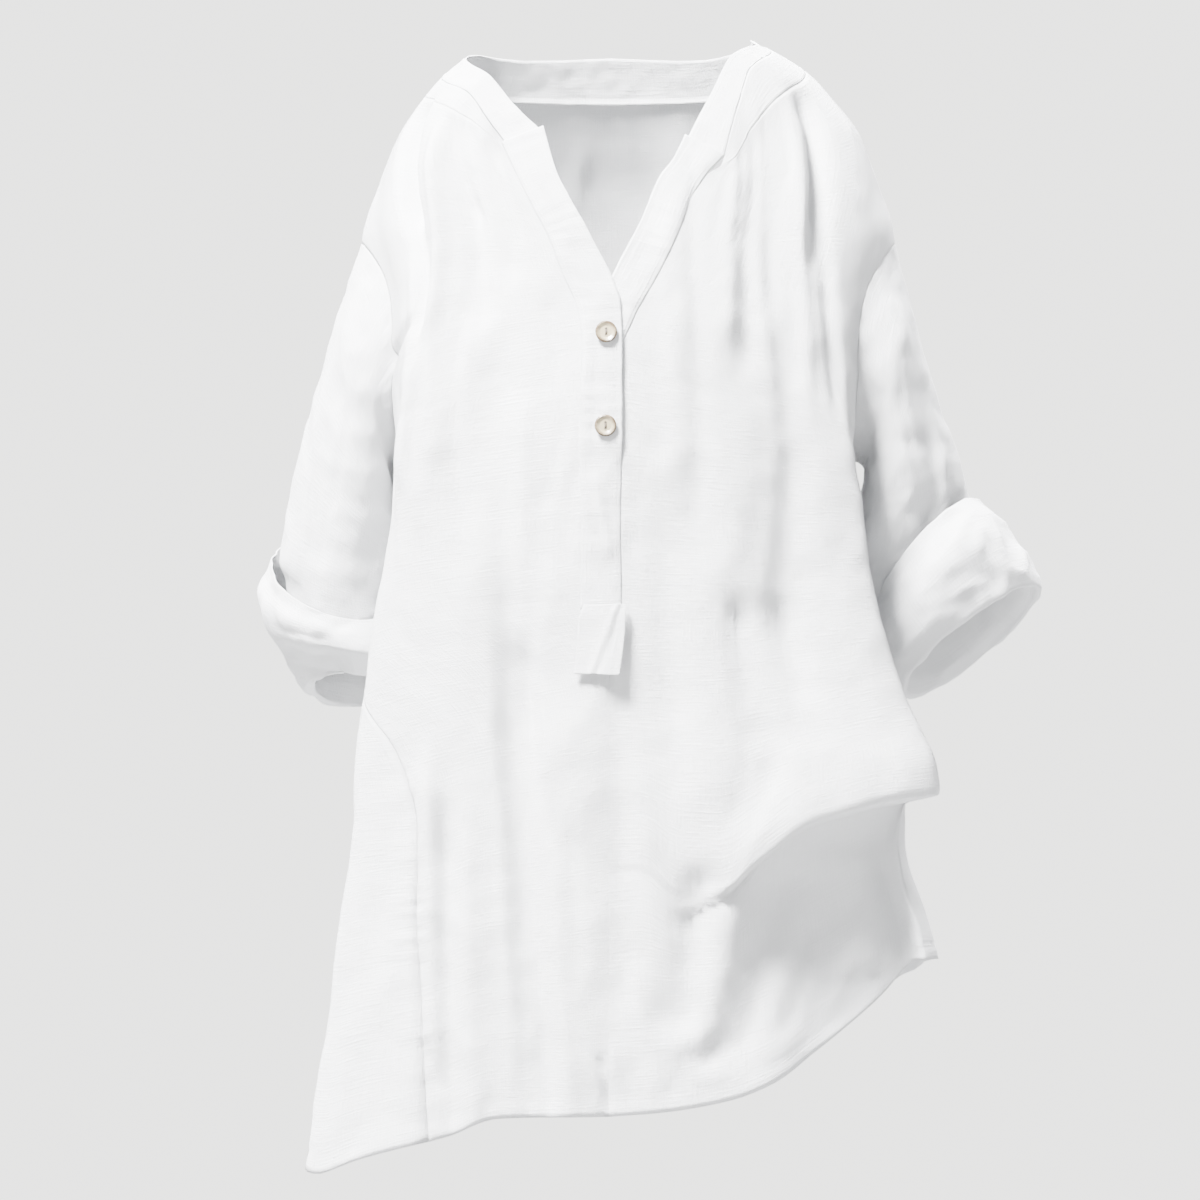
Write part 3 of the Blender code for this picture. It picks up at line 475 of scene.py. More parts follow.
def frontField(side):
    outer, seam = sideEdge(side, True), seamPath(side, "shoulder", "crest")
    top = np.concatenate([crest(side, armhole["top"], seams["crest"][side], steps["crest"])[:-1], seam])
    heights, edgeX = zip(*slit[side])
    foot = float(through(hem["x"], hem["z"], edgeX[0]))
    at = middleHeights(seams["shoulder"][side][-1][1], steps["halfFront"], foot)
    inner = toAngles(np.stack([through(heights, edgeX, at), at], -1))
    inner[0] = seam[-1]
    angles = np.linspace(outer[-1, 0], inner[-1, 0], len(top))
    bottom = np.stack([angles, hemHeight(angles)], -1)
    bottom[-1] = inner[-1]
    return patch(outer, inner, top, bottom, hipPull if side == "left" else None)


def backField(side):
    outer, middle = sideEdge(side, False), sign(side) * 180.0
    shoulder = crest(side, armhole["top"], seams["crest"][side], steps["crest"])
    stepIn = crest(side, seams["crest"][side], seams["neckCrest"][side], steps["stepIn"])
    top = np.concatenate([shoulder[:-1], stepIn[:-1], neckBack(side)])
    at = middleHeights(seams["neckBack"], steps["halfBack"], float(hemHeight(np.array([180.0]))[0]))
    inner = np.stack([np.full(len(at), middle), at], -1)
    angles = np.linspace(outer[-1, 0], middle, len(top))
    return patch(outer, inner, top, np.stack([angles, hemHeight(angles)], -1))


def onBody(field, rows, columns):
    fine = finer(field, rows, columns)
    return skin(fine[..., 0], fine[..., 1])


def shoulderTongue(side):  # the back's stretch between the shoulder seam and the neckband
    seam, neck = seamPath(side, "shoulder", "crest"), seamPath(side, "neck", "neckCrest")
    share = np.linspace(0, 1, 3)[None, :, None]
    return onBody(seam[:, None, :] * (1 - share) + neck[:, None, :] * share, *steps["tongue"])


def addNode(tree, kind, inputs, **settings):  # an input is a value or another node's output
    node = tree.nodes.new(kind)
    for setting, value in settings.items():
        setattr(node, setting, value)
    for socket, value in inputs.items():
        if isinstance(value, bpy.types.NodeSocket):
            tree.links.new(value, node.inputs[socket])
        else:
            node.inputs[socket].default_value = value
    return node


def addMaths(tree, operation, *values, clamp=False):
    node = addNode(tree, "ShaderNodeMath", dict(enumerate(values)), operation=operation, use_clamp=clamp)
    return node.outputs["Value"]


def addRamp(tree, factor, stops):
    ramp = addNode(tree, "ShaderNodeValToRGB", {"Fac": factor})
    for stop, (position, colour) in zip(ramp.color_ramp.elements, stops):
        stop.position, stop.color = position, colour
    return ramp.outputs["Color"]


def newMaterial(name, settings):
    material = bpy.data.materials.new(name)
    material.use_nodes = True
    shader = material.node_tree.nodes["Principled BSDF"]
    for socket, value in settings.items():
        shader.inputs[socket].default_value = value
    return material, material.node_tree, shader


def addObject(name, data):
    thing = bpy.data.objects.new(name, data)
    bpy.context.scene.collection.objects.link(thing)
    return thing


linen = {
    "white": (0.815, 0.82, 0.83, 1),
    "shaded": (0.66, 0.665, 0.675, 1),
    "shadedShare": 0.5,
    "thread": 0.00055,  # metres from thread to thread
    "weave": 0.25,  # how far the threads, the slubs and the soft creases stand out
    "slubs": 0.7,
    "soft": 1.6,
    "bump": 0.9,
    "bumpDistance": 0.0012,
    "rough": 0.88,
    "slubRough": 0.1,
    "surface": {"Sheen Weight": 0.15, "Sheen Roughness": 0.5, "IOR": 1.4},
}


def makeLinen(name):  # white linen: plain weave, slubs both ways, soft creases
    material, tree, shader = newMaterial(name, linen["surface"])
    uv = addNode(tree, "ShaderNodeUVMap", {}, uv_map="weave").outputs["UV"]

    def noiseAt(x, y, detail):  # with x and y grains to the metre
        spread = addNode(tree, "ShaderNodeVectorMath", {0: uv, 1: (x, y, 1)}, operation="MULTIPLY")
        inputs = {"Vector": spread.outputs["Vector"], "Scale": 1, "Detail": detail}
        return addNode(tree, "ShaderNodeTexNoise", inputs).outputs["Fac"]

    def threads(direction):
        inputs = {"Vector": uv, "Scale": 0.314 / linen["thread"], "Distortion": 0.6}
        return addNode(tree, "ShaderNodeTexWave", inputs, bands_direction=direction).outputs["Fac"]

    weave = addMaths(tree, "MULTIPLY", threads("X"), threads("Y"))
    slubs = addMaths(tree, "ADD", noiseAt(60, 760, 2), noiseAt(760, 45, 2))
    thick = addMaths(tree, "POWER", addMaths(tree, "MULTIPLY", slubs, 0.62), 3)
    height = addMaths(tree, "ADD", addMaths(tree, "MULTIPLY", weave, linen["weave"]),
                      addMaths(tree, "MULTIPLY", thick, linen["slubs"]))
    height = addMaths(tree, "ADD", height, addMaths(tree, "MULTIPLY", noiseAt(46, 38, 5), linen["soft"]))
    bump = addNode(tree, "ShaderNodeBump",
                   {"Strength": linen["bump"], "Distance": linen["bumpDistance"], "Height": height})
    thin = addMaths(tree, "SUBTRACT", 1, thick, clamp=True)
    shade = addMaths(tree, "MULTIPLY", thin, linen["shadedShare"])
    mix = addNode(tree, "ShaderNodeMix", {"A": linen["white"], "B": linen["shaded"], "Factor": shade},
                  data_type="RGBA")
    rough = addMaths(tree, "ADD", addMaths(tree, "MULTIPLY", thick, linen["slubRough"]), linen["rough"])
    tree.links.new(bump.outputs["Normal"], shader.inputs["Normal"])
    tree.links.new(mix.outputs["Result"], shader.inputs["Base Color"])
    tree.links.new(rough, shader.inputs["Roughness"])
    return material


linenLook = makeLinen("white_linen")


def addPiece(name, corners, faces, look):
    mesh = bpy.data.meshes.new(name)
    mesh.from_pydata((np.array(corners) * mm).tolist(), [], faces)
    mesh.materials.append(look)
    piece = addObject(name, mesh)
    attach(piece, "root")
    return piece, mesh


def makeCloth(name, grids, cut, closed=False):  # a piece of cloth, its weave laid along it
    corners, faces, spots = [], [], []
    for grid, flip in grids:
        (rows, width), start = grid.shape[:2], len(corners)
        corners.extend(grid.reshape(-1, 3))
        wide = np.linalg.norm(np.diff(grid, axis=1), axis=-1).mean(axis=0)
        tall = np.linalg.norm(np.diff(grid, axis=0), axis=-1).mean(axis=1)
        u = np.concatenate([[0], np.cumsum(wide)]) * mm
        v = np.concatenate([[0], np.cumsum(tall)]) * mm
        for r in range(rows - 1):
            for c in range(width if closed else width - 1):
                d = (c + 1) % width
                low, high = start + r * width, start + (r + 1) * width
                quad = [low + c, low + d, high + d, high + c]
                wrap = u[-1] + wide[0] * mm if d == 0 else u[d]
                place = [(u[c], v[r]), (wrap, v[r]), (wrap, v[r + 1]), (u[c], v[r + 1])]
                faces.append(quad[::-1] if flip else quad)
                spots.extend(place[::-1] if flip else place)
    piece, mesh = addPiece(name, corners, faces, linenLook)
    layer = mesh.uv_layers.new(name="weave")
    layer.data.foreach_set("uv", np.array(spots).ravel())
    shape = bmesh.new()
    shape.from_mesh(mesh)
    bmesh.ops.remove_doubles(shape, verts=shape.verts, dist=1e-6)
    print(f"{name}: {sum(f.calc_area() for f in shape.faces):.4f} m2, {2 * len(shape.faces)} triangles")
    shape.to_mesh(mesh)
    shape.free()
    mesh.shade_smooth()
    thick = piece.modifiers.new("wall", "SOLIDIFY")
    thick.thickness = cloth["wall"] * mm
    thick.offset = -1
    width, length, area = cut
    return piece


fronts = {side: onBody(frontField(side), cloth["rows"], cloth["columns"]) for side in sides}
backs = {side: onBody(backField(side), cloth["rows"], cloth["columns"]) for side in sides}
tongues = {side: shoulderTongue(side) for side in sides}
frontPiece = makeCloth("front_panel", [(fronts["right"], True), (fronts["left"], False)], frontPanel["cut"])
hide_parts("front")
backGrids = [(backs["right"], False), (backs["left"], True),
             (tongues["right"], True), (tongues["left"], False)]
backPiece = makeCloth("back_panel", backGrids, backPanel["cut"])
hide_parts("back")
print("panels done")

# Rings of the sleeves from the armhole down: the middle, and then the reach to the outer side (x, z) and to
# the front (x, y, z). A fold has its turn round the ring, its drift from ring to ring, its width and its
# share of the depth.
sleeves = {
    "right": ((-173, 0, -246, -20, 64, 0, -58, 0), (-182, 2, -292, -31, 43, 2, -58, -3),
              (-188, 3, -331, -38, 29, 2, -51, -8), (-194, 2, -366, -41, 14, 2, -43, -14),
              (-190, 1, -398, -36, 6, 2, -37, -8)),
    "left": ((195, 0, -239, 17, 61, -1, -58, 0), (203, 0, -289, 29, 41, -3, -58, 2),
             (209, -1, -322, 37, 38, -6, -55, 5), (215, -3, -354, 39, 38, -9, -44, 8),
             (227, -5, -380, 36, 31, -9, -38, 8)),
    "folds": ((42, 6, 14, -1), (130, -4, 16, -0.7), (285, -5, 18, -0.8), (20, 9, 5, 0.35),
              (75, -3, 6, -0.35)),
    "foldDepth": 5,
    "foldsEnd": 3.6,  # the ring at which they have run out
    "rows": 76,
    "headLift": 5,  # how far the cloth below the underarm is moved outwards
    "headShare": 0.12,  # share of the length over which the crumples begin
    "puckers": 0.7,
    "cut": {"right": (0.40, 0.21, 0.058), "left": (0.40, 0.20, 0.055)},
}


def ringPoints(row, turns, extra=None):
    x, y, z, outX, outZ, frontX, frontY, frontZ = row
    angles = np.radians(turns)[:, None]
    spread = np.cos(angles) * np.array([outX, 0, outZ]) + np.sin(angles) * np.array([frontX, frontY, frontZ])
    points = np.array([x, y, z]) + spread
    return points if extra is None else points + unit(spread) * extra(turns)[:, None]


def between(first, second, share):
    return tuple(a + (b - a) * share for a, b in zip(first, second))


def sleeveFolds(ring):
    depth = sleeves["foldDepth"] * math.sin(math.pi * min(ring / sleeves["foldsEnd"], 1))

    def extra(turn):
        return sum(depth * tall * swell(turn - at - drift * ring, width)
                   for at, drift, width, tall in sleeves["folds"])
    return extra


def sleeveGrid(side):
    table, turns = sleeves[side], np.linspace(0, 360, cloth["around"], endpoint=False)
    hole = np.array([armholeAt(side, turn) for turn in turns])
    first, second = skin(hole[:, 0], hole[:, 1]), ringPoints(table[0], turns)
    under = (1 - np.cos(np.radians(turns))) / 2
    lift = sleeves["headLift"] * np.stack([sign(side) * under, 0 * under, 0 * under], -1)
    rings = [first, first * 0.78 + second * 0.22 + lift, first * 0.4 + second * 0.6 + lift]
    for i, row in enumerate(table):
        rings.append(ringPoints(row, turns, sleeveFolds(i)))
        if i + 1 < len(table):
            rings.append(ringPoints(between(row, table[i + 1], 0.5), turns, sleeveFolds(i + 0.5)))
    points = moreRows(np.array(rings), sleeves["rows"])
    rough = crumpled(points, 20 + sign(side))
    share = ease(np.linspace(0, 1, len(points)) / sleeves["headShare"])[:, None, None]
    points = points * (1 - share) + rough * share
    waves = np.sin(turns / 2.1 + 1.5 * np.sin(turns / 9))[None, :]
    pucker = sleeves["puckers"] * waves * swell(np.arange(len(points))[:, None] / 3.0 - 1, 1)
    return points + pucker[..., None] * unit(points - points.mean(axis=1, keepdims=True))


# The turned-back cuffs: rings like the sleeves' at the free edge and at the mouth. The roll gives the share
# of the way from edge to mouth, and the size of the ring there. Puffs and dents have their angle round the
# ring, their share of that way, the spread of each and their height.
cuffs = {
    "right": ((-195, 1, -371, -46, 12, 0, -54, -25), (-180, -2, -446, -32, 2, 0, -38, 11)),
    "left": ((223, -4, -357, 36, 43, -13, -47, 11), (253, -10, -412, 46, 37, -9, -46, 12)),
    "roll": ((0.985, 0.95), (1.03, 0.99), (1.03, 1.05), (0.96, 1.1), (0.8, 1.15), (0.55, 1.16), (0.3, 1.12),
             (0.12, 1.05), (0, 1)),
    "puffs": {
        "right": ((0, 0.45, 55, 0.28, 17), (330, 0.9, 40, 0.2, 9), (60, 0.85, 30, 0.2, -5),
                  (100, 0.6, 40, 0.3, 6), (25, 0.5, 9, 0.3, -3), (52, 0.35, 8, 0.22, 2.5),
                  (75, 0.7, 8, 0.2, -3), (140, 0.5, 10, 0.3, -3)),
        "left": ((180, 0.45, 45, 0.3, 9), (75, 0.5, 40, 0.3, 10), (20, 0.6, 30, 0.3, -4),
                 (130, 0.8, 30, 0.2, 4), (95, 0.4, 7, 0.3, -2.5), (60, 0.8, 8, 0.2, -3),
                 (118, 0.5, 8, 0.26, 2.5), (150, 0.3, 9, 0.2, -2.5)),
    },
    "lip": 0.9,  # size of the inner layer at the mouth
    "rows": 84,
    "crumpleTall": 1.9,
    "crumple": 24,
    "cut": {"right": (0.29, 0.16, 0.038), "left": (0.31, 0.16, 0.040)},
}


def scaled(row, size):
    return row[:3] + tuple(value * size for value in row[3:])


def puff(side, share, size):
    def extra(turn):
        outward = np.zeros_like(turn)
        for at, along, spread, reach, tall in cuffs["puffs"][side]:
            off = (turn - at + 180) % 360 - 180
            outward += tall * np.exp(-((off / spread) ** 2) - ((share - along) / reach) ** 2)
        return outward * float(ease((size - 0.99) / 0.08))
    return extra


def cuffGrid(side):
    (edge, mouth), turns = cuffs[side], np.linspace(0, 360, cloth["around"], endpoint=False)
    start = ringPoints(sleeves[side][-1], turns, sleeveFolds(len(sleeves[side]) - 1))
    lip = ringPoints(scaled(mouth, cuffs["lip"]), turns)
    rings = [start, start * 0.55 + lip * 0.45, start * 0.15 + lip * 0.85]
    for share, size in cuffs["roll"]:
        rings.append(ringPoints(scaled(between(edge, mouth, share), size), turns, puff(side, share, size)))
    points = moreRows(np.array(rings), cuffs["rows"])
    return crumpled(points, 40 + sign(side), cuffs["crumpleTall"], cuffs["crumple"])


for side in sides:
    turned = side == "right"
    sleeveName, cuffName = f"sleeve_{side}_cloth", f"cuff_{side}_cloth"
    sleeve = makeCloth(sleeveName, [(sleeveGrid(side), turned)], sleeves["cut"][side], closed=True)
    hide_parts(f"sleeve_{side}")
    cuff = makeCloth(cuffName, [(cuffGrid(side), not turned)], cuffs["cut"][side], closed=True)
    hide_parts(f"cuff_{side}")
print("sleeves and cuffs done")

# The neckband's upper edge above its seam: at each angle, how far inwards, backwards and up.
neckband = {
    "right": ((27, 29, -2, 9), (38, 21, 4, 8), (52, 16, 7, 12), (90, 18, 1, 15), (130, 12, -7, 24),
              (180, 0, -8, 30)),
    "left": ((27, 29, -2, 12), (38, 18, 6, 10), (52, 13, 8, 9), (90, 10, 2, 5), (130, 12, -7, 22),
             (180, 0, -8, 30)),
    "below": 0.03,  # share of its height that reaches down inside the panels, and what is added behind
    "belowBack": 0.1,
    "inside": 1.2,  # how far in that part goes
    "rows": 16,
    "columns": 240,
    "stitches": (2.6, 13.6),  # rows that are stitched
    "crumpleTall": 0.7,
    "crumple": 18,
    "cut": (0.46, 0.034, 0.0133),
}


def kinksEased(points):  # evens out sharp bends along the rows
    for _ in range(40):
        bend = (points[:, :-2] + points[:, 2:]) / 2 - points[:, 1:-1]
        sharp = ease((np.linalg.norm(bend, axis=-1, keepdims=True) - 0.1) / 0.3)
        points[:, 1:-1] += 0.5 * sharp * bend
    return points


def bandGrid():
    paths = [seamPath("right", "neck", "neckCrest")[::-1], neckBack("right")[1:],
             neckBack("left")[::-1][1:], seamPath("left", "neck", "neckCrest")[1:]]
    low = np.concatenate(paths)
    low[:, 0] = np.where(low[:, 0] > 0, low[:, 0] - 360, low[:, 0])  # one run of angles round the back
    low = moreRows(low, neckband["columns"])
    around = np.where(low[:, 0] < -180, low[:, 0] + 360, low[:, 0])
    foot = skin(around, low[:, 1], plain=True)
    rise = np.zeros_like(foot)
    for side in sides:
        places, inwards, backwards, upwards = zip(*neckband[side])
        mine = np.sign(around) == sign(side)
        spot = np.abs(around[mine])
        rise[mine] = np.stack([-sign(side) * through(places, inwards, spot), through(places, backwards, spot),
                               through(places, upwards, spot)], -1)
    lowest = -neckband["below"] - neckband["belowBack"] * ease((np.abs(around) - 95) / 40)
    inward = neckband["inside"] * unit(foot * np.array([-1, -1, 0]))
    points = []
    for share in np.linspace(0, 1, neckband["rows"] + 1):
        part = (lowest + (1 - lowest) * share)[:, None]
        leaning = rise * np.concatenate([np.maximum(part, 0)] * 2 + [part], axis=1)
        points.append(foot + leaning + inward * ease(-part / 0.05))
    return crumpled(kinksEased(np.array(points)), 61, neckband["crumpleTall"], neckband["crumple"])


bandCloth = bandGrid()
band = makeCloth("neckband_cloth", [(bandCloth, True)], neckband["cut"])
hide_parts("neckband")
print("neckband done")

# Both plackets from the neck down: x and height of the free edge, and then of the sewn edge.
plackets = {
    "right": (((-47.5, -55), (-78, -65)), ((-38, -88), (-63, -96)), ((-30, -104), (-54, -114)),
              ((-15, -132), (-43, -136)), ((0, -162), (-34, -160)), ((6, -182), (-24, -184)),
              ((7, -205), (-21, -207)), ((7, -240), (-22, -240)), ((7, -276), (-23, -276)),
              ((6, -330), (-21, -330)), ((7, -391), (-22, -391))),
    "left": (((51, -60), (79, -74)), ((42, -78), (64, -91)), ((33, -90), (56, -105)),
             ((20, -121), (45, -131)), ((2, -156), (30, -163)), ((-8, -182), (15, -190)), ((-9, -212), (5, -218)),
             ((-9, -250), (4, -250)), ((-9, -310), (4, -310)), ((-9, -391), (3, -391))),
    "out": 1.7,  # how far they stand out, and how much further at the free edge
    "lift": {"right": 1.6, "left": -0.8},
    "rows": {"right": 240, "left": 230},
    "columns": {"right": 20, "left": 18},
    "stitches": {"right": (0.13, 0.86), "left": (0.13,)},  # shares of the width that are stitched
    "sewnFrom": 0.66,  # share of the length from which the foot is stitched down
    "puckers": 0.22,
    "groove": 0.3,
    "cut": {"right": (0.031, 0.37, 0.0100), "left": (0.022, 0.36, 0.0073)},
}


def stripGrid(side):
    points = np.array([free + sewn for free, sewn in plackets[side]], float)
    place = np.concatenate([[0], np.cumsum(np.hypot(*np.diff(points[:, :2], axis=0).T))])
    at = np.linspace(0, place[-1], plackets["rows"][side] + 1)
    freeX, freeZ, sewnX, sewnZ = (through(place, points[:, i], at)[:, None] for i in range(4))
    share = np.linspace(0, 1, plackets["columns"][side] + 1)[None, :]
    x, z = sewnX + (freeX - sewnX) * share, sewnZ + (freeZ - sewnZ) * share
    return laidOn(x, z, placketOut(share, at[:, None] / place[-1], plackets["lift"][side]))


def placketOut(share, along, lift):  # pressed at its sewn edge, rolled at its fold, sewn down at its foot
    stitched = swell(share - 0.12, 0.05) + swell(share - 0.86, 0.05)
    pucker = plackets["puckers"] * np.sin(along * 150 + 3 * np.sin(along * 31)) * (1 - 0.5 * share)
    sunk = ease((along - plackets["sewnFrom"]) / 0.06)
    pressed = 1 - 0.9 * swell(share, 0.09) - 0.85 * sunk * swell(1 - share, 0.08)
    raised = plackets["out"] * (1 - 0.5 * sunk) + lift * (1 - 0.75 * sunk) * ease((share - 0.3) / 0.35)
    return raised * pressed + (pucker - plackets["groove"] * stitched) * pressed * (1 - 0.5 * sunk)


placketGrids = {}
for side in sides[::-1]:
    placketGrids[side] = stripGrid(side)
    strip = [(placketGrids[side], side == "right")]
    placket = makeCloth(f"placket_{side}_cloth", strip, plackets["cut"][side])
    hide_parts(f"placket_{side}")
print("plackets done")

# The free foot of the upper placket, with a crease across it. Each row has x on the right and the left, the
# height, and how far out it stands on the right and the left.
tab = {
    "table": ((-19, 9, -388, 4.6, 4.8), (-22, 9, -396, 5.4, 5.8), (-24, 8, -412, 5.4, 6.6),
              (-25, 6, -426, 5.2, 7.6), (-26, 4, -437, 5.0, 8.2)),
    "rows": 40,
    "columns": 24,
    "crease": (0.8, 0.4),  # shares of the width at which it starts and ends
    "creaseTall": 0.9,
    "creaseDeep": 0.7,
    "cut": (0.032, 0.054, 0.0016),
}


def tabGrid():
    right, left, height, outRight, outLeft = moreRows(np.array(tab["table"], float), tab["rows"]).T[..., None]
    share, along = np.linspace(0, 1, tab["columns"] + 1)[None, :], np.linspace(0, 1, tab["rows"] + 1)[:, None]
    x = right + (left - right) * share
    start, end = tab["crease"]
    fold = share - start + (start - end) * along
    out = outRight + (outLeft - outRight) * share**2
    out = out + tab["creaseTall"] * swell(fold, 0.07) - tab["creaseDeep"] * swell(fold - 0.13, 0.08)
    return laidOn(x, np.broadcast_to(height, x.shape), out)


tabPiece = makeCloth("placket_tab_cloth", [(tabGrid(), True)], tab["cut"])
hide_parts("placket_tab")
print("tab done")

shell = {
    "radius": 0.0076,  # metres
    "cream": (0.36, 0.305, 0.2, 1),
    "brown": (0.07, 0.042, 0.02, 1),
    "creamTo": 0.62,  # shares of the radius where the cream ends and the brown is full
    "brownFrom": 0.98,
    "cloud": 0.5,  # how much the clouds shift them
    "grain": 330,
    "surface": {"Roughness": 0.32, "Coat Weight": 0.3},
}


def makeShell(name, centre):  # cream shell, cloudy, browner towards its rim
    material, tree, shader = newMaterial(name, shell["surface"])
    coords = addNode(tree, "ShaderNodeTexCoord", {}).outputs["Object"]
    clouds = addNode(tree, "ShaderNodeTexNoise", {"Vector": coords, "Scale": shell["grain"], "Detail": 3})
    away = addNode(tree, "ShaderNodeVectorMath", {0: coords, 1: centre}, operation="SUBTRACT")
    length = addNode(tree, "ShaderNodeVectorMath", {0: away.outputs["Vector"]}, operation="LENGTH")
    shift = addMaths(tree, "MULTIPLY_ADD", clouds.outputs["Fac"], shell["cloud"], -shell["cloud"] / 2)
    reach = addMaths(tree, "MULTIPLY_ADD", length.outputs["Value"], 1 / shell["radius"], shift)
    colour = addRamp(tree, reach, ((shell["creamTo"], shell["cream"]), (shell["brownFrom"], shell["brown"])))
    tree.links.new(colour, shader.inputs["Base Color"])
    return material


for name in buttonSpots:
    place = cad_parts[name].material_slots[0]
    place.link = "OBJECT"
    lowest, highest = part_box(name)
    place.material = makeShell(name + "_look", [(a + b) / 2 for a, b in zip(lowest, highest)])
print("buttons done")


def makeCotton(name, colour):
    material, tree, shader = newMaterial(name, {"Sheen Weight": 0.2, "Roughness": 0.7})
    coords = addNode(tree, "ShaderNodeTexCoord", {}).outputs["Object"]
    clouds = addNode(tree, "ShaderNodeTexNoise", {"Vector": coords, "Scale": 900})
    darker = tuple(c * 0.85 for c in colour[:3]) + (1,)
    ramp = addRamp(tree, clouds.outputs["Fac"], ((0, darker), (1, colour)))
    tree.links.new(ramp, shader.inputs["Base Color"])
    return material


def onGrid(grid, row, column):  # points and normals of a grid at fractions of its rows and columns
    row, column = np.broadcast_arrays(np.asarray(row, float), np.asarray(column, float))
    r = np.clip(row.astype(int), 0, grid.shape[0] - 2)
    c = np.clip(column.astype(int), 0, grid.shape[1] - 2)
    a, b = (row - r)[:, None], (column - c)[:, None]
    near = grid[r, c] * (1 - b) + grid[r, c + 1] * b
    far = grid[r + 1, c] * (1 - b) + grid[r + 1, c + 1] * b
    normal = unit(np.cross(grid[r + 1, c] - grid[r, c], grid[r, c + 1] - grid[r, c]))
    return near * (1 - a) + far * a, normal


def threadRow(points, normals, thread):  # one stitch after another along a line, each dipping into the cloth
    length = np.concatenate([[0], np.cumsum(np.linalg.norm(np.diff(points, axis=0), axis=-1))])
    along, above = np.array([0, 0.25, 0.5, 0.75, 1]), np.array([-0.5, 0.25, 0.4, 0.25, -0.5])
    corners, faces = [], []
    for begin in np.arange(thread["pitch"] / 2, length[-1] - thread["long"], thread["pitch"]):
        at = begin + thread["long"] * along
        spine = np.stack([np.interp(at, length, points[:, i]) for i in range(3)], -1)
        normal = unit(np.stack([np.interp(at, length, normals[:, i]) for i in range(3)], -1))
        spine = spine + normal * (above * thread["thick"])[:, None]
        side = unit(np.cross(spine[-1] - spine[0], normal[2])) * thread["thick"] / 2
        first = len(corners)
        for point, up in zip(spine, normal * thread["thick"] / 2):
            corners.extend([point + side, point + up, point - side, point - up])
        for low in range(first, first + 16, 4):
            for k in range(4):
                faces.append((low + k, low + (k + 1) % 4, low + 4 + (k + 1) % 4, low + 4 + k))
        faces.append((first, first + 1, first + 2, first + 3))
        faces.append((first + 19, first + 18, first + 17, first + 16))
    return corners, faces


def makeThread(name, rows, look, thread):
    corners, faces = [], []
    for points, normals in rows:
        more, made = threadRow(points, normals, thread)
        faces.extend([tuple(i + len(corners) for i in face) for face in made])
        corners.extend(more)
    addPiece(name, corners, faces, look)[1].shade_smooth()
    print(f"{name}: {len(faces)} faces")


stitch = {"pitch": 3.1, "long": 2.3, "thick": 0.42, "colour": (0.9, 0.9, 0.9, 1)}


def hemAt(above):
    angle = np.linspace(-180, 180, 720)
    points = skin(angle, np.interp(angle, hemAngles, hemLine) + above)
    plan = np.gradient(points, axis=0)
    return points, unit(np.stack([plan[:, 1], -plan[:, 0], 0 * plan[:, 0]], -1))


def outward(points, normals):  # turns the normals away from the middle of the body
    away = (points - np.array([0, 0, -300])) * np.array([1, 1, 0])
    return points, np.where(np.sum(normals * away, axis=-1, keepdims=True) < 0, -normals, normals)


sewn = [outward(*hemAt(hem["turned"]))]
for side in sides:
    rows = np.linspace(2, plackets["rows"][side] - 4, 400)
    for share in plackets["stitches"][side]:
        sewn.append(outward(*onGrid(placketGrids[side], rows, share * plackets["columns"][side])))
for row in neckband["stitches"]:
    sewn.append(outward(*onGrid(bandCloth, row, np.linspace(3, neckband["columns"] - 3, 600))))
for side in sides:
    sewn.append(outward(*onGrid(tongues[side], np.linspace(1, steps["tongue"][0] - 2, 200), 1.3)))
makeThread("stitching", sewn, makeCotton("cotton", stitch["colour"]), stitch)

# Strands through the two holes of each button.
tie = {
    "pitch": 0.4, "long": 4.3, "thick": 0.5, "colour": (0.11, 0.085, 0.06, 1),
    "seat": 3.55,  # how far out the button's back lies
    "apart": 0.42,
    "half": 2.3,  # half the length of a strand
    "above": 1.75,  # its height over the button's back, its arch and the dip of its ends
    "arch": 0.25,
    "dip": 0.5,
}
ties = []
for spotX, spotZ in buttonSpots.values():
    spotsX, spotsZ = np.array([spotX, spotX, spotX + 1.0]), np.array([spotZ, spotZ - 1.0, spotZ])
    spot = laidOn(spotsX, spotsZ, np.full(3, tie["seat"]))
    lower, right = unit(spot[1] - spot[0]), unit(spot[2] - spot[0])
    face = unit(np.cross(lower, right))
    upward = np.cross(face, right)
    run = np.linspace(-tie["half"], tie["half"], 9)
    bow = tie["above"] + tie["arch"] * np.cos(run / tie["half"] * math.pi / 2) - tie["dip"] * (abs(run) > 2)
    for shift in (-tie["apart"], 0, tie["apart"]):
        strand = spot[0] + run[:, None] * upward + shift * right + bow[:, None] * face
        ties.append((strand, np.tile(face, (len(run), 1))))
makeThread("button_thread", ties, makeCotton("button_cotton", tie["colour"]), tie)
print("stitching done")

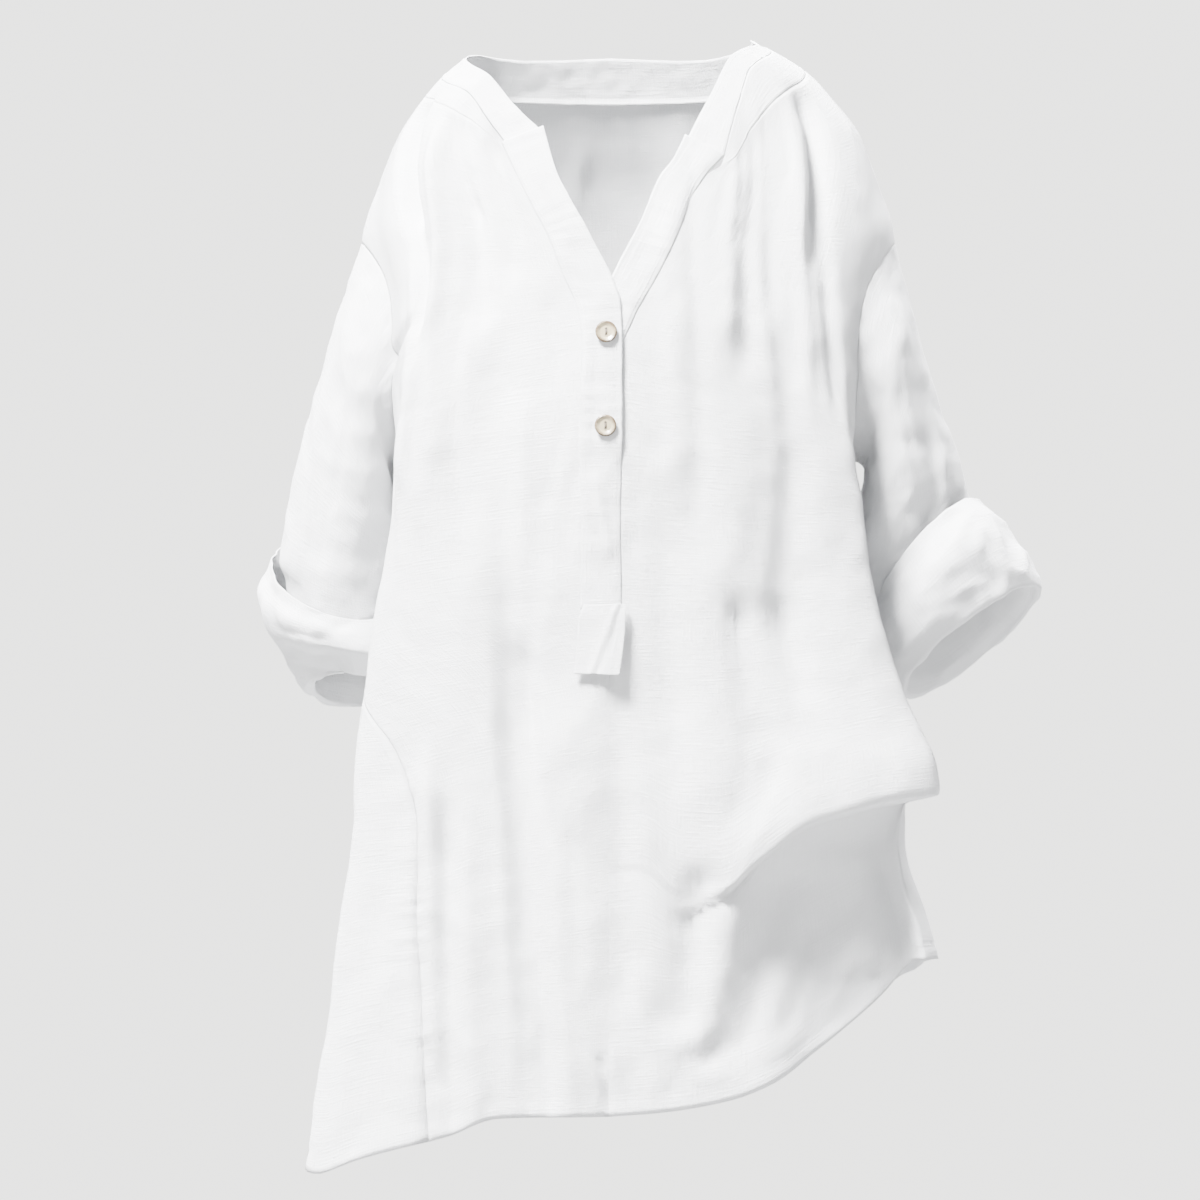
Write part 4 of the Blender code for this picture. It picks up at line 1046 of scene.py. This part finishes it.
# The camera looks straight on from far off, as the photo does. Metres.
view = {"distance": 6.0, "width": 0.84, "x": -0.0084, "z": -0.385, "frontOfBody": 0.06, "sensor": 36}
lens = bpy.data.cameras.new("camera")
lens.sensor_width = view["sensor"]
lens.lens = view["sensor"] * (view["distance"] - view["frontOfBody"]) / view["width"]
lens.clip_end = 100
camera = addObject("camera", lens)
camera.location = (view["x"], -view["distance"], view["z"])
camera.rotation_euler = (math.pi / 2, 0, 0)
bpy.context.scene.camera = camera

# A soft studio: a pale band of light at the horizon, dimmer above and below, a wide light from the upper
# left, a weak one from the right and one from behind, each with its place, size and power.
studio = {
    "horizon": (0.79, 0.79, 0.775, 1),
    "away": (0.13, 0.135, 0.145, 1),
    "band": (0.09, 0.16),  # where the band ends and where it has faded
    "strength": 3.95,
    "lights": {
        "key": ((-1.7, -1.75, 3.5), 1.3, 3500),
        "fill": ((2.4, -2.4, 0.1), 2.0, 12),
        "back": ((1.5, 2.6, 2.6), 1.5, 1500),
    },
    "aim": (0, 0, -0.35),
    "floor": -1.5,
    "floorSize": 8,
    "floorLook": {"Base Color": (0.21, 0.21, 0.21, 1), "Roughness": 0.9},
}
world = bpy.data.worlds.new("studio")
bpy.context.scene.world = world
world.use_nodes = True
sky, background = world.node_tree, world.node_tree.nodes["Background"]
direction = addNode(sky, "ShaderNodeTexCoord", {}).outputs["Generated"]
parts = addNode(sky, "ShaderNodeSeparateXYZ", {"Vector": direction})
bandStops = zip(studio["band"], (studio["horizon"], studio["away"]))
skyColour = addRamp(sky, addMaths(sky, "ABSOLUTE", parts.outputs["Z"]), bandStops)
sky.links.new(skyColour, background.inputs["Color"])
background.inputs["Strength"].default_value = studio["strength"]
for name, (spot, size, power) in studio["lights"].items():
    lamp = bpy.data.lights.new(name, "AREA")
    lamp.size, lamp.energy = size, power
    holder = addObject(name, lamp)
    holder.location = spot
    aim = Vector(studio["aim"]) - Vector(spot)
    holder.rotation_euler = aim.to_track_quat("-Z", "Y").to_euler()

half = studio["floorSize"] / 2
floorMesh = bpy.data.meshes.new("floor")
floorCorners = [(-half, -half, 0), (half, -half, 0), (half, half, 0), (-half, half, 0)]
floorMesh.from_pydata(floorCorners, [], [(0, 1, 2, 3)])
floorMesh.materials.append(newMaterial("floor", studio["floorLook"])[0])
floor = addObject("floor", floorMesh)
floor.location.z = studio["floor"]
print("studio done")
